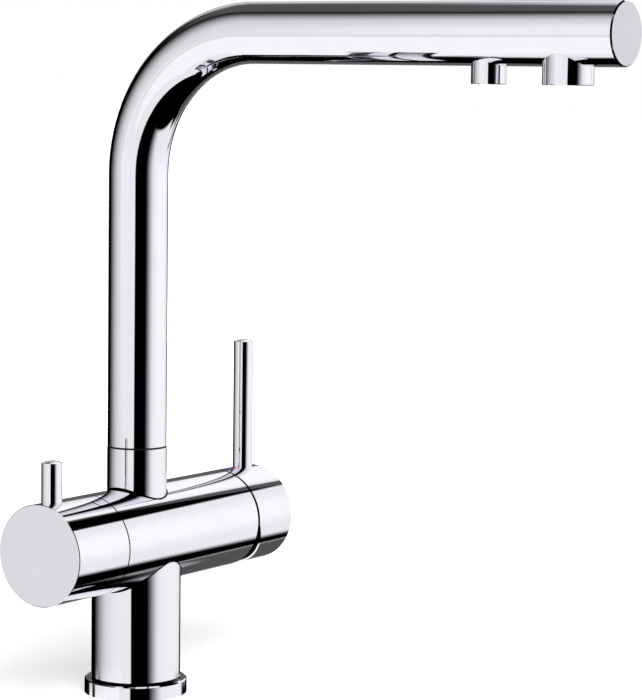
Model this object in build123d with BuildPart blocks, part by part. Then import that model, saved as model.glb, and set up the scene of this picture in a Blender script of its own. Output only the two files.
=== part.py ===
"""Three-way kitchen tap with a second lever and outlet for filtered drinking water.

Millimetres, +Z up. The origin is the centre of the base ring's underside, on the axis of
the column, the neck and the spout's vertical leg. The spout points to -Y, the mixer lever
is at the +X end of the barrel and the filtered-water lever at its -X end.
"""
import os
from math import asin, cos, degrees, radians, sin, sqrt, tan

from build123d import *

# Allowances
OVERRUN = 1.0            # how far a cut runs past the face it starts from
TURN_FIT = 0.05          # radial clearance of a piece that turns or screws in its bore
BRAZE_FIT = 0.03         # gap of a brazed joint
SHOW_GAP = 0.3           # gap between a turning cap and the barrel
SEAL_FIT = 0.03          # radial clearance of a seal in its groove and its bore

# Column, base ring and gasket
COLUMN_R = 21.7
COLUMN_STEP = 1.7        # how far the foot inside the base ring is set back
COLUMN_FOOT_EDGE = 1.0   # bevel that leaves a dark groove above the base ring
BASE_FLANGE = 3.3        # how far the base ring stands out past the column
BASE_H = 7.0
BASE_EDGE = 0.6
GASKET_MARGIN_SHARE = 0.24   # of the base ring's wall
GASKET_T = 2.0

# Barrel
BARREL_WALL = 4.2        # around the mixer end's thread
BARREL_Z = 76.9
KNOB_SEAM_X = -36.15
HANDLE_SEAM_X = 69.3

# Neck, brazed into the barrel
NECK_R = 14.5
NECK_WALL = 3.0
NECK_H = 43.9            # from the barrel's axis to the neck's top
NECK_DEPTH = 28.8

# Inlets and waterways
INLET_THREAD_R = 4.46    # M10 x 1
INLET_DEPTH = 12.0
STUD_THREAD_R = 3.32     # M8
STUD_DEPTH = 14.0
WATERWAY_R = 3.0
MIXED_WAY_R = 3.5
MIXED_WAY_TAIL = 2.3
RISER_R = 2.8
RISER_INSET = 0.4
FILTER_WAY_R = 2.2
HOT_COLD_X = 8.0
FILTER_INLET_X = -14.0

# Mixer cartridge, counted back along X from its shroud
CARTRIDGE_R = 17.5
CHAMBER_FIT = 0.1
NUT_SHOULDER = 2.4       # how much wider the nut's thread is than the chamber
NUT_THREAD_L = 9.3
PORT_CIRCLE_R = 8.5
PORT_ANGLES = (-30.0, 210.0, 90.0)   # hot, cold and mixed, from +Y in the Y-Z plane
PORT_R = 2.8
PORT_SEAL_W = 1.4
PORT_SEAL_T = 1.6
CARTRIDGE_STANDOFF = 0.3
CARTRIDGE_BASE_T = 4.0
CARTRIDGE_WALL = 1.6
CARTRIDGE_END_T = 2.0
CARTRIDGE_NECK_R = 12.3
CARTRIDGE_NECK_WALL = 2.1
CARTRIDGE_NECK_REACH = 3.0   # how far it goes past the stem's pivot
DISC_GAP = 0.05          # film of grease between the ceramic discs
DISC_FIT = 0.1
FIXED_DISC_T = 4.0
MOVING_DISC_T = 4.0
MOVING_DISC_INSET = 4.3  # room that it has to slide in
MIXING_POCKET_R = 7.0
MIXING_POCKET_DEPTH = 2.0
CARRIER_T = 5.6
CARRIER_GAP = 0.55
CARRIER_SLOT_FLOOR = 0.8
ROTOR_FLANGE_FIT = 0.3
ROTOR_FLANGE_T = 2.4
ROTOR_GAP = 0.1
ROTOR_FIT = 0.08
ROTOR_INSET = 0.6
ROTOR_ROOM_DOWN = 1.6    # room for the stem to tilt
ROTOR_ROOM_UP = 3.5      # and for its ball
RAIL_INNER_Y = 9.2
RAIL_W = 2.2
RAIL_HALF = 7.5
RAIL_L = 4.2
RAIL_SLACK = 0.2
PIVOT_PIN_R = 1.5
PIVOT_PIN_INSET = 0.72
STEM_SIDE = 8.0
STEM_SLACK = 0.05
STEM_BALL_R = 3.6
STEM_BALL_FIT = 0.2
STEM_BALL_SLACK = 0.25
STEM_NECK_R = 2.6
STEM_SQUARE_L = 6.8      # of the square part inside the pivot
STEM_PAST_LEVER = 3.95
CARTRIDGE_NUT_L = 2.4
NUT_FIT = 0.3
NUT_GAP = 0.2
NUT_NOTCH_R = 1.6
NUT_NOTCH_COUNT = 4
SHROUD_FIT = 0.6
SHROUD_WALL = 1.2
SHROUD_SKIRT_L = 1.7
SHROUD_SKIRT_WALL = 1.4
SHROUD_TOP_GAP = 1.3
SHROUD_MOUTH_R = 8.2

# Mixer handle and its lever
HANDLE_GAP = 0.7
HANDLE_L = 28.65
HANDLE_WALL = 2.0
HANDLE_SLANT = 21.5      # degrees that the rim's lower half leans back
CAP_EDGE = 0.3
MIXER_LEVER_INSET = 10.1
MIXER_LEVER_H = 88.8     # of its shoulder above the barrel's axis
MARK_R = 2.3
MARK_T = 0.6
MARK_GAP = 0.7

# Filtered-water knob and its lever
KNOB_L = 37.45
KNOB_WALL = 3.2
KNOB_FLOOR_GAP = 2.4
FILTER_LEVER_INSET = 8.95
FILTER_LEVER_H = 43.0    # of its shoulder above the barrel's axis

# Both levers and the grub screws under the caps
LEVER_R = 4.95
LEVER_CROWN = 1.0
LEVER_SEAT_DEPTH = 5.2
LEVER_SHOULDER_W = 1.95
LEVER_FOOT_L = 11.0
LEVER_FOOT_EXTRA = 1.0
LEVER_LAND = 0.6
GRUB_R = 2.5
GRUB_L = 9.0
GRUB_HEX = 1.25
GRUB_HEX_DEPTH = 2.5
FILTER_GRUB_INSET = 5.0

# Filtered-water valve, counted along X from the barrel's end
VALVE_DEPTH = 24.15
VALVE_BORE_R = 9.3
HEX_ROOM = 0.5
VALVE_FACE_CUT_DEPTH = 3.0
VALVE_POCKET_DEPTH = 2.0
ANNULUS_DEPTH = 1.7
ANNULUS_RING_GAP = 2.4
ANNULUS_SEAT_GAP = 2.0
SEAT_SEAL_W = 1.8
SEAT_SEAL_T = 2.0
VALVE_BODY_WALL = 1.55
VALVE_FOOT_SLACK = 1.35
VALVE_HEX_FLATS = 22.0
VALVE_HEX_T = 4.0
VALVE_NECK_WALL = 2.8
VALVE_NECK_L = 6.45
VALVE_WINDOW_W = 6.0
VALVE_WINDOW_L = 4.0
VALVE_DISC_T = 2.8
VALVE_DISC_HOLE_R = 1.9
VALVE_DISC_HOLE_CIRCLE_R = 3.6
SPINDLE_FOOT_FIT = 0.4
SPINDLE_FOOT_L = 4.0
SPINDLE_FOOT_FLATS = 10.0
SPINDLE_R = 4.2
SPINDLE_TAIL_L = 13.4
SPINDLE_GROOVE_INSET = 6.6
SPINDLE_GROOVE_W = 2.0
SPINDLE_GROOVE_DEPTH = 1.2
SPINDLE_GROOVE_PITCH = 4.0
SPINDLE_RING_COUNT = 2
SPLINE_COUNT = 20
SPLINE_R = 0.35
SPLINE_L = 9.0
CIRCLIP_T = 0.8
CIRCLIP_DEPTH = 0.7
CIRCLIP_REACH = 2.0
CIRCLIP_GAP_W = 5.0
VALVE_RING_INSET = 2.75
VALVE_RING_W = 1.8
VALVE_RING_DEPTH = 1.2

# Spout
SPOUT_INSET = 0.15       # how much slimmer than the neck it is
SPOUT_WALL = 1.5
SPOUT_H = 199.8          # from the neck's top to the axis of its level run
SPOUT_END = 261.75
SPOUT_BEND_R = 67.65
SPOUT_RIM_EDGE = 0.7
SPOUT_CAP_INSET = 0.95
SPOUT_CAP_T = 1.5
SPOUT_CAP_PLUG_L = 6.0
OUTLET_L = 7.95          # how far both outlets stand out under the spout
FILTER_OUTLET_INSET = 67.85
FILTER_OUTLET_R = 7.8
FILTER_OUTLET_WALL = 1.8
FILTER_TENON_STEP = 1.6
FILTER_MOUTH_L = 5.0
FILTER_THROAT_L = 2.2
MIXER_OUTLET_INSET = 28.05
MIXER_OUTLET_R = 11.25
MIXER_OUTLET_WALL = 1.3
MIXER_TENON_STEP = 1.65
MIXER_TENON_WALL = 1.4
OUTLET_EDGE = 0.3

# Swivel between the neck and the spout, its levels counted up from its foot
GLIDE_T = 0.6
GLIDE_INSET = 0.6
SWIVEL_WALL = 2.85
SWIVEL_FOOT_GAP = 1.5
SWIVEL_HEAD_L = 11.6
LOWER_RING_LEVEL = 5.5
UPPER_RING_LEVEL = 11.5
SWIVEL_RING_W = 2.4
SWIVEL_RING_DEPTH = 1.9
LOWER_BEARING_LEVEL = 1.5
UPPER_BEARING_LEVEL = 22.5
BEARING_W = 2.5
BEARING_DEPTH = 1.4
STOP_GROOVE_LEVEL = 18.0
STOP_GROOVE_W = 3.4
STOP_GROOVE_DEPTH = 1.6
SWIVEL_HALF_ARC = 75.0   # degrees each way from straight ahead
STOP_SCREW_R = 1.6
STOP_SCREW_TIP = 1.2     # how far its tip reaches into the groove
STOP_SCREW_INSET = 0.3
STOP_GROOVE_MARGIN = 1.0  # degrees past the screw at each end of the groove
STOP_HEX = 0.75
STOP_HEX_DEPTH = 1.2

# Filtered-water tube inside the spout
TUBE_R = 3.175
TUBE_WALL = 0.8
TUBE_SOCKET_DEPTH = 8.0
TUBE_RING_DROP = 5.0
TUBE_RING_W = 1.8
TUBE_RING_DEPTH = 1.2
TUBE_DROP_R = 10.0

# Aerator in the mixed-water outlet and stream former in the filtered one
AERATOR_L = 5.4
AERATOR_WALL = 1.2
AERATOR_INSET = 1.0
AERATOR_LIP = 1.0
AERATOR_GRID_T = 2.0
AERATOR_HOLE_R = 0.7
AERATOR_RING_CIRCLE_R = 5.6
AERATOR_RING_HOLES = 12
AERATOR_INNER_CIRCLE_R = 2.9
AERATOR_INNER_HOLES = 6
AERATOR_WASHER_T = 1.2
AERATOR_WASHER_W = 1.8
FORMER_L = 4.0
FORMER_HOLE_R = 0.55
FORMER_CIRCLE_R = 3.2
FORMER_HOLES = 8
FORMER_INSET = 1.0

# Radii and heights that follow from the sizes above
CHAMBER_R = CARTRIDGE_R + CHAMBER_FIT
NUT_THREAD_R = CHAMBER_R + NUT_SHOULDER
BARREL_R = NUT_THREAD_R + BARREL_WALL
SHROUD_R = BARREL_R - HANDLE_WALL - SHROUD_FIT
BASE_R = COLUMN_R + BASE_FLANGE
SPIGOT_R = COLUMN_R - COLUMN_STEP
GASKET_MARGIN = GASKET_MARGIN_SHARE * (BASE_R - SPIGOT_R)
PORT_SEAL_OUTER_R = PORT_R + PORT_SEAL_W
CAVITY_R = CARTRIDGE_R - CARTRIDGE_WALL
FIXED_DISC_R = CAVITY_R - DISC_FIT
MOVING_DISC_R = FIXED_DISC_R - MOVING_DISC_INSET
CARTRIDGE_NECK_BORE_R = CARTRIDGE_NECK_R - CARTRIDGE_NECK_WALL
ROTOR_R = CARTRIDGE_NECK_BORE_R - ROTOR_FIT
ROTOR_FLANGE_R = CAVITY_R - ROTOR_FLANGE_FIT
NUT_BORE_R = CARTRIDGE_NECK_R + NUT_FIT
LEVER_FOOT_R = LEVER_R - LEVER_SHOULDER_W
LEVER_SEAT = BARREL_R - LEVER_SEAT_DEPTH
LEVER_FOOT = LEVER_SEAT - LEVER_FOOT_L
NECK_BORE_R = NECK_R - NECK_WALL
SWIVEL_R = NECK_BORE_R - TURN_FIT
SPOUT_R = NECK_R - SPOUT_INSET
SPOUT_BORE_R = SPOUT_R - SPOUT_WALL
FILTER_TENON_R = FILTER_OUTLET_R - FILTER_TENON_STEP
MIXER_TENON_R = MIXER_OUTLET_R - MIXER_TENON_STEP
VALVE_BODY_R = VALVE_BORE_R - TURN_FIT
VALVE_BODY_BORE_R = VALVE_BODY_R - VALVE_BODY_WALL
VALVE_DISC_R = VALVE_BODY_BORE_R - DISC_FIT
SEAT_SEAL_INNER_R = VALVE_DISC_R - SEAT_SEAL_W
NECK_TOP_Z = BARREL_Z + NECK_H
NECK_FLOOR_Z = NECK_TOP_Z - NECK_DEPTH
SWIVEL_FOOT_Z = NECK_FLOOR_Z + SWIVEL_FOOT_GAP
STOP_GROOVE_Z = SWIVEL_FOOT_Z + STOP_GROOVE_LEVEL
TUBE_SOCKET_FLOOR_Z = NECK_FLOOR_Z - TUBE_SOCKET_DEPTH
TUBE_RING_Z = NECK_FLOOR_Z - TUBE_RING_DROP
SPOUT_FOOT_Z = NECK_TOP_Z + GLIDE_T
SPOUT_Z = NECK_TOP_Z + SPOUT_H
OUTLET_BOTTOM_Z = SPOUT_Z - SPOUT_R - OUTLET_L
FILTER_OUTLET_Y = SPOUT_END - FILTER_OUTLET_INSET
MIXER_OUTLET_Y = SPOUT_END - MIXER_OUTLET_INSET

# Places along the barrel's mixer end, from the handle's seam inwards and outwards
HANDLE_START_X = HANDLE_SEAM_X + HANDLE_GAP
HANDLE_END_X = HANDLE_START_X + HANDLE_L
MIXER_LEVER_X = HANDLE_END_X - MIXER_LEVER_INSET
HANDLE_FLOOR_X = MIXER_LEVER_X - LEVER_R - LEVER_LAND
STEM_END_X = MIXER_LEVER_X + STEM_PAST_LEVER
HOT_MARK_X = MIXER_LEVER_X - LEVER_R - MARK_GAP - MARK_R
COLD_MARK_X = HOT_MARK_X - 2 * MARK_R - MARK_GAP
PIVOT_X = HANDLE_START_X
SKIRT_X = HANDLE_SEAM_X - SHROUD_SKIRT_L
COVER_END_X = SKIRT_X - NUT_GAP - CARTRIDGE_NUT_L
CAVITY_END_X = COVER_END_X - CARTRIDGE_END_T
ROTOR_X = CAVITY_END_X - ROTOR_GAP - ROTOR_FLANGE_T
CARRIER_X = ROTOR_X - CARRIER_GAP - CARRIER_T
MOVING_DISC_X = CARRIER_X - MOVING_DISC_T
CAVITY_X = MOVING_DISC_X - DISC_GAP - FIXED_DISC_T
BASE_X = CAVITY_X - CARTRIDGE_BASE_T
CHAMBER_FLOOR_X = BASE_X - CARTRIDGE_STANDOFF
NUT_THREAD_START_X = HANDLE_SEAM_X - NUT_THREAD_L
CARTRIDGE_NECK_END_X = PIVOT_X + CARTRIDGE_NECK_REACH
ROTOR_END_X = CARTRIDGE_NECK_END_X - ROTOR_INSET
SHROUD_TOP_X = CARTRIDGE_NECK_END_X + SHROUD_TOP_GAP + SHROUD_WALL
STEM_SHOULDER_X = PIVOT_X - STEM_SQUARE_L
STEM_BALL_X = CARRIER_X + CARRIER_SLOT_FLOOR + STEM_BALL_SLACK + STEM_BALL_R
RISER_X = NECK_BORE_R - RISER_INSET - RISER_R

# Places along its filtered-water end, from the knob's seam
KNOB_START_X = KNOB_SEAM_X - SHOW_GAP
KNOB_END_X = KNOB_START_X - KNOB_L
FILTER_LEVER_X = KNOB_END_X + FILTER_LEVER_INSET
VALVE_SEAT_X = KNOB_SEAM_X + VALVE_DEPTH
VALVE_INNER_X = VALVE_SEAT_X - SEAT_SEAL_T / 2
VALVE_FIXED_DISC_X = VALVE_SEAT_X - SEAT_SEAL_T
VALVE_MOVING_DISC_X = VALVE_FIXED_DISC_X - VALVE_DISC_T - DISC_GAP
SPINDLE_X = VALVE_MOVING_DISC_X - VALVE_DISC_T
SPINDLE_FOOT_X = SPINDLE_X - SPINDLE_FOOT_L
VALVE_HEX_X = KNOB_SEAM_X + VALVE_FACE_CUT_DEPTH
VALVE_HEX_END_X = VALVE_HEX_X - VALVE_HEX_T
VALVE_NECK_END_X = VALVE_HEX_END_X - VALVE_NECK_L
VALVE_RING_X = VALVE_HEX_X + VALVE_RING_INSET
KNOB_FLOOR_X = VALVE_NECK_END_X - KNOB_FLOOR_GAP
SPINDLE_END_X = VALVE_NECK_END_X - SPINDLE_TAIL_L
FILTER_GRUB_X = SPINDLE_END_X + FILTER_GRUB_INSET

os.makedirs("parts", exist_ok=True)


def level(z, x=0.0, y=0.0):
    """Horizontal plane at a height."""
    return Plane((x, y, z))


def across(x, y=0.0, z=BARREL_Z):
    """Plane square to the barrel's axis, its first direction +Y and its normal +X."""
    return Plane(origin=(x, y, z), x_dir=(0, 1, 0), z_dir=(1, 0, 0))


def rod(plane, radius, length, bore=0.0, mode=Mode.ADD):
    """Round bar, or a tube where it has a bore, that stands on a plane."""
    with BuildSketch(plane) as outline:
        Circle(radius)
        if bore:
            Circle(bore, mode=Mode.SUBTRACT)
    extrude(outline.sketch, amount=length, mode=mode)


def hollow(plane, radius, length):
    """Round hole that starts on a plane."""
    rod(plane, radius, length, mode=Mode.SUBTRACT)


def ring_seal(plane, groove_r, bore_r):
    """Round-section seal that fills the space between a groove's floor and a bore."""
    section_r = (bore_r - groove_r) / 2 - SEAL_FIT
    with BuildSketch(Plane(plane.origin, x_dir=plane.x_dir, z_dir=plane.y_dir)) as outline:
        with Locations(((bore_r + groove_r) / 2, 0)):
            Circle(section_r)
    revolve(outline.sketch, axis=Axis(plane.origin, plane.z_dir))


def port_places():
    """Centres of the cartridge's hot, cold and mixed ports in the Y-Z plane."""
    return [(PORT_CIRCLE_R * cos(radians(a)), PORT_CIRCLE_R * sin(radians(a))) for a in PORT_ANGLES]


def publish(part, name):
    """Label a finished piece and write its STEP file."""
    part.label = name
    export_step(part, f"parts/{name}.step")


# Base ring that covers the deck hole and carries the body
with BuildPart() as base_ring:
    rod(level(0), BASE_R, BASE_H, bore=SPIGOT_R + TURN_FIT)
    top_edges = base_ring.edges().filter_by(GeomType.CIRCLE).group_by(Axis.Z)[-1]
    chamfer(top_edges.sort_by(SortBy.RADIUS)[-1], BASE_EDGE)
    rod(level(0), BASE_R - GASKET_MARGIN + TURN_FIT, GASKET_T, bore=SPIGOT_R + GASKET_MARGIN - TURN_FIT,
        mode=Mode.SUBTRACT)
publish(base_ring.part, "base_ring")

with BuildPart() as base_gasket:
    rod(level(0), BASE_R - GASKET_MARGIN, GASKET_T, bore=SPIGOT_R + GASKET_MARGIN)
publish(base_gasket.part, "base_gasket")


# Body: a column coped under the barrel, the barrel with its chambers, and the neck set into it
def rising_ways():
    """Hot, cold and filtered ways up the column, cut in the column and in the barrel alike."""
    for y, z in port_places()[:2]:
        hollow(level(0, HOT_COLD_X, y), WATERWAY_R, BARREL_Z + z)
    hollow(level(0, FILTER_INLET_X), WATERWAY_R, BARREL_Z - VALVE_BORE_R + OVERRUN)


with BuildPart() as body_column:
    rod(level(0), SPIGOT_R, BASE_H)
    rod(level(BASE_H), COLUMN_R, BARREL_Z - BASE_H)
    foot_edges = body_column.edges().filter_by(GeomType.CIRCLE).group_by(Axis.Z)[1]
    chamfer(foot_edges.sort_by(SortBy.RADIUS)[-1], COLUMN_FOOT_EDGE)
    hollow(across(-COLUMN_R - OVERRUN), BARREL_R + BRAZE_FIT, 2 * (COLUMN_R + OVERRUN))
    rising_ways()
    for x, y in [(HOT_COLD_X, y) for y, z in port_places()[:2]] + [(FILTER_INLET_X, 0)]:
        hollow(level(-OVERRUN, x, y), INLET_THREAD_R, INLET_DEPTH + OVERRUN)
    hollow(level(-OVERRUN), STUD_THREAD_R, STUD_DEPTH + OVERRUN)
publish(body_column.part, "body_column")

with BuildPart() as body_barrel:
    rod(across(KNOB_SEAM_X), BARREL_R, HANDLE_SEAM_X - KNOB_SEAM_X)
    rising_ways()

    # Mixer end: seat, chamber, the nut's thread, and the ways that meet the cartridge
    hollow(across(CHAMBER_FLOOR_X), CHAMBER_R, HANDLE_SEAM_X - CHAMBER_FLOOR_X + OVERRUN)
    hollow(across(NUT_THREAD_START_X), NUT_THREAD_R, NUT_THREAD_L + OVERRUN)
    for y, z in port_places()[:2]:
        hollow(across(HOT_COLD_X, y, BARREL_Z + z), WATERWAY_R, CHAMBER_FLOOR_X - HOT_COLD_X + OVERRUN)

    # Mixed water runs back over them and up into the neck
    mixed_x = RISER_X - MIXED_WAY_TAIL
    mixed_z = BARREL_Z + port_places()[2][1]
    hollow(across(mixed_x, 0, mixed_z), MIXED_WAY_R, CHAMBER_FLOOR_X - mixed_x + OVERRUN)
    hollow(level(mixed_z, RISER_X), RISER_R, NECK_FLOOR_Z - mixed_z + OVERRUN)
    hollow(level(NECK_FLOOR_Z), NECK_R + BRAZE_FIT, BARREL_Z + BARREL_R - NECK_FLOOR_Z + OVERRUN)

    # Filtered water fills the valve's annulus and leaves through its seat
    hollow(across(KNOB_SEAM_X - OVERRUN), VALVE_BORE_R, VALVE_DEPTH + OVERRUN)
    annulus_x = VALVE_RING_X + ANNULUS_RING_GAP
    hollow(across(annulus_x), VALVE_BORE_R + ANNULUS_DEPTH, VALVE_SEAT_X - ANNULUS_SEAT_GAP - annulus_x)
    hollow(across(KNOB_SEAM_X - OVERRUN), VALVE_HEX_FLATS / sqrt(3) + HEX_ROOM,
           VALVE_FACE_CUT_DEPTH + OVERRUN)
    hollow(across(VALVE_SEAT_X - OVERRUN), SEAT_SEAL_INNER_R, VALVE_POCKET_DEPTH + OVERRUN)
    hollow(across(VALVE_SEAT_X), FILTER_WAY_R, FILTER_WAY_R - VALVE_SEAT_X)
    hollow(level(BARREL_Z), FILTER_WAY_R, TUBE_SOCKET_FLOOR_Z - BARREL_Z + OVERRUN)
    hollow(level(TUBE_SOCKET_FLOOR_Z), TUBE_R + TURN_FIT, TUBE_SOCKET_DEPTH + OVERRUN)
    hollow(level(TUBE_RING_Z), TUBE_R + TUBE_RING_DEPTH, TUBE_RING_W)
publish(body_barrel.part, "body_barrel")

with BuildPart() as spout_neck:
    rod(level(NECK_FLOOR_Z), NECK_R, NECK_DEPTH, bore=NECK_BORE_R)
    hollow(Plane(origin=(0, 0, STOP_GROOVE_Z), x_dir=(1, 0, 0), z_dir=(0, 1, 0)),
           STOP_SCREW_R + TURN_FIT, NECK_R + OVERRUN)
publish(spout_neck.part, "spout_neck")


# Mixer cartridge: seals, base, housing and discs
with BuildPart() as cartridge_seals:
    for y, z in port_places():
        rod(across(CHAMBER_FLOOR_X, y, BARREL_Z + z), PORT_SEAL_OUTER_R, PORT_SEAL_T, bore=PORT_R)
publish(cartridge_seals.part, "cartridge_seals")

with BuildPart() as cartridge_base:
    rod(across(BASE_X), CARTRIDGE_R, CARTRIDGE_BASE_T)
    for y, z in port_places():
        hollow(across(BASE_X, y, BARREL_Z + z), PORT_R, CARTRIDGE_BASE_T)
        hollow(across(BASE_X, y, BARREL_Z + z), PORT_SEAL_OUTER_R + TURN_FIT,
               PORT_SEAL_T - CARTRIDGE_STANDOFF)
publish(cartridge_base.part, "cartridge_base")

with BuildPart() as cartridge_housing:
    rod(across(CAVITY_X), CARTRIDGE_R, COVER_END_X - CAVITY_X)
    rod(across(COVER_END_X), CARTRIDGE_NECK_R, CARTRIDGE_NECK_END_X - COVER_END_X)
    hollow(across(CAVITY_X), CAVITY_R, CAVITY_END_X - CAVITY_X)
    hollow(across(CAVITY_END_X), CARTRIDGE_NECK_BORE_R, CARTRIDGE_NECK_END_X - CAVITY_END_X)
publish(cartridge_housing.part, "cartridge_housing")

with BuildPart() as fixed_ceramic_disc:
    rod(across(CAVITY_X), FIXED_DISC_R, FIXED_DISC_T)
    for y, z in port_places():
        hollow(across(CAVITY_X, y, BARREL_Z + z), PORT_R, FIXED_DISC_T)
publish(fixed_ceramic_disc.part, "fixed_ceramic_disc")

with BuildPart() as moving_ceramic_disc:
    rod(across(MOVING_DISC_X), MOVING_DISC_R, MOVING_DISC_T)
    hollow(across(MOVING_DISC_X), MIXING_POCKET_R, MIXING_POCKET_DEPTH)
publish(moving_ceramic_disc.part, "moving_ceramic_disc")

# The carrier slides between the rotor's two rails, on flats milled on its sides
with BuildPart() as disc_carrier:
    rod(across(CARRIER_X), MOVING_DISC_R, CARRIER_T)
    hollow(across(CARRIER_X + CARRIER_SLOT_FLOOR), STEM_BALL_R + STEM_BALL_FIT, CARRIER_T)
    flat_y = RAIL_INNER_Y - RAIL_SLACK
    with BuildSketch(across(ROTOR_X - RAIL_L - RAIL_SLACK)):
        for side in (-1, 1):
            with Locations((side * (flat_y + MOVING_DISC_R / 2), 0)):
                Rectangle(MOVING_DISC_R, 2 * MOVING_DISC_R)
    extrude(amount=CARRIER_T + RAIL_L, mode=Mode.SUBTRACT)
publish(disc_carrier.part, "disc_carrier")

with BuildPart() as cartridge_rotor:
    rod(across(ROTOR_X), ROTOR_FLANGE_R, ROTOR_FLANGE_T)
    rod(across(ROTOR_X), ROTOR_R, ROTOR_END_X - ROTOR_X)
    with BuildSketch(across(ROTOR_X)):
        for side in (-1, 1):
            with Locations((side * (RAIL_INNER_Y + RAIL_W / 2), 0)):
                Rectangle(RAIL_W, 2 * RAIL_HALF)
    extrude(amount=-RAIL_L)
    with BuildSketch(across(ROTOR_X)):
        with Locations((0, (ROTOR_ROOM_UP - ROTOR_ROOM_DOWN) / 2)):
            Rectangle(STEM_SIDE + 2 * STEM_SLACK, STEM_SIDE + ROTOR_ROOM_UP + ROTOR_ROOM_DOWN)
    extrude(amount=ROTOR_END_X - ROTOR_X, mode=Mode.SUBTRACT)
    with BuildSketch(Plane(origin=(PIVOT_X, 0, BARREL_Z), x_dir=(1, 0, 0), z_dir=(0, -1, 0))):
        Circle(PIVOT_PIN_R + TURN_FIT)
    extrude(amount=ROTOR_FLANGE_R, both=True, mode=Mode.SUBTRACT)
publish(cartridge_rotor.part, "cartridge_rotor")

with BuildPart() as stem_pivot_pin:
    with BuildSketch(Plane(origin=(PIVOT_X, 0, BARREL_Z), x_dir=(1, 0, 0), z_dir=(0, -1, 0))):
        Circle(PIVOT_PIN_R)
    extrude(amount=ROTOR_R - PIVOT_PIN_INSET, both=True)
publish(stem_pivot_pin.part, "stem_pivot_pin")

with BuildPart() as lever_stem:
    with BuildSketch(across(STEM_SHOULDER_X)):
        Rectangle(STEM_SIDE, STEM_SIDE)
    extrude(amount=STEM_END_X - STEM_SHOULDER_X)
    rod(across(STEM_BALL_X), STEM_NECK_R, STEM_SHOULDER_X - STEM_BALL_X)
    with Locations((STEM_BALL_X, 0, BARREL_Z)):
        Sphere(STEM_BALL_R)
    with BuildSketch(Plane(origin=(PIVOT_X, 0, BARREL_Z), x_dir=(1, 0, 0), z_dir=(0, -1, 0))):
        Circle(PIVOT_PIN_R + TURN_FIT)
    extrude(amount=STEM_SIDE, both=True, mode=Mode.SUBTRACT)
publish(lever_stem.part, "lever_stem")

with BuildPart() as cartridge_nut:
    rod(across(COVER_END_X), NUT_THREAD_R - TURN_FIT, CARTRIDGE_NUT_L, bore=NUT_BORE_R)
    with BuildSketch(across(COVER_END_X)):
        with PolarLocations((NUT_THREAD_R + NUT_BORE_R) / 2, NUT_NOTCH_COUNT):
            Circle(NUT_NOTCH_R)
    extrude(amount=CARTRIDGE_NUT_L, mode=Mode.SUBTRACT)
publish(cartridge_nut.part, "cartridge_nut")

# Shroud: a dome centred on the stem's pivot, so that the handle can tilt over it
def dome_point(x, radius):
    """Point of a sphere about the stem's pivot, as a place along X and a distance from the axis."""
    return (x, sqrt(radius ** 2 - (x - PIVOT_X) ** 2))


with BuildPart() as cartridge_shroud:
    inner_r = SHROUD_R - SHROUD_WALL
    plate_x = SHROUD_TOP_X - SHROUD_WALL
    flange_x = HANDLE_SEAM_X + SHROUD_WALL
    skirt_r = NUT_THREAD_R - TURN_FIT
    with BuildSketch(Plane(origin=(0, 0, BARREL_Z), x_dir=(1, 0, 0), z_dir=(0, -1, 0))):
        with BuildLine():
            ThreePointArc(dome_point(HANDLE_SEAM_X, SHROUD_R),
                          dome_point((HANDLE_SEAM_X + SHROUD_TOP_X) / 2, SHROUD_R),
                          dome_point(SHROUD_TOP_X, SHROUD_R))
            Polyline(dome_point(SHROUD_TOP_X, SHROUD_R), (SHROUD_TOP_X, SHROUD_MOUTH_R),
                     (plate_x, SHROUD_MOUTH_R), dome_point(plate_x, inner_r))
            ThreePointArc(dome_point(plate_x, inner_r), dome_point((plate_x + flange_x) / 2, inner_r),
                          dome_point(flange_x, inner_r))
            Polyline(dome_point(flange_x, inner_r), (flange_x, skirt_r - SHROUD_SKIRT_WALL),
                     (SKIRT_X, skirt_r - SHROUD_SKIRT_WALL), (SKIRT_X, skirt_r),
                     (HANDLE_SEAM_X, skirt_r), dome_point(HANDLE_SEAM_X, SHROUD_R))
        make_face()
    revolve(axis=Axis((0, 0, BARREL_Z), (1, 0, 0)))
publish(cartridge_shroud.part, "cartridge_shroud")


def lever_pin(x, shoulder_z):
    """Lever with a threaded foot and a slightly crowned top, above the barrel's axis at x."""
    crown_r = (LEVER_R ** 2 + LEVER_CROWN ** 2) / (2 * LEVER_CROWN)
    mid_z = shoulder_z + LEVER_CROWN - crown_r + sqrt(crown_r ** 2 - (LEVER_R / 2) ** 2)
    seat_z = BARREL_Z + LEVER_SEAT
    foot_z = BARREL_Z + LEVER_FOOT
    with BuildPart() as lever:
        with BuildSketch(Plane(origin=(x, 0, 0), x_dir=(1, 0, 0), z_dir=(0, -1, 0))):
            with BuildLine():
                Polyline((0, shoulder_z + LEVER_CROWN), (0, foot_z), (LEVER_FOOT_R, foot_z),
                         (LEVER_FOOT_R, seat_z), (LEVER_R, seat_z), (LEVER_R, shoulder_z))
                ThreePointArc((LEVER_R, shoulder_z), (LEVER_R / 2, mid_z), (0, shoulder_z + LEVER_CROWN))
            make_face()
        revolve(axis=Axis((x, 0, 0), (0, 0, 1)))
    return lever.part


def lever_hole(x):
    """Stepped hole that a lever screws into, cut in the cap being built."""
    hollow(level(BARREL_Z + LEVER_SEAT, x), LEVER_R + TURN_FIT, LEVER_SEAT_DEPTH + OVERRUN)
    hollow(level(BARREL_Z + LEVER_FOOT - LEVER_FOOT_EXTRA, x), LEVER_FOOT_R + TURN_FIT,
           LEVER_FOOT_L + LEVER_FOOT_EXTRA)


def grub_hole(x, reach):
    """Hole for the grub screw under a cap, up to a reach below the barrel's axis."""
    hollow(level(BARREL_Z - BARREL_R - OVERRUN, x), GRUB_R + TURN_FIT, BARREL_R + OVERRUN - reach)


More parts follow.
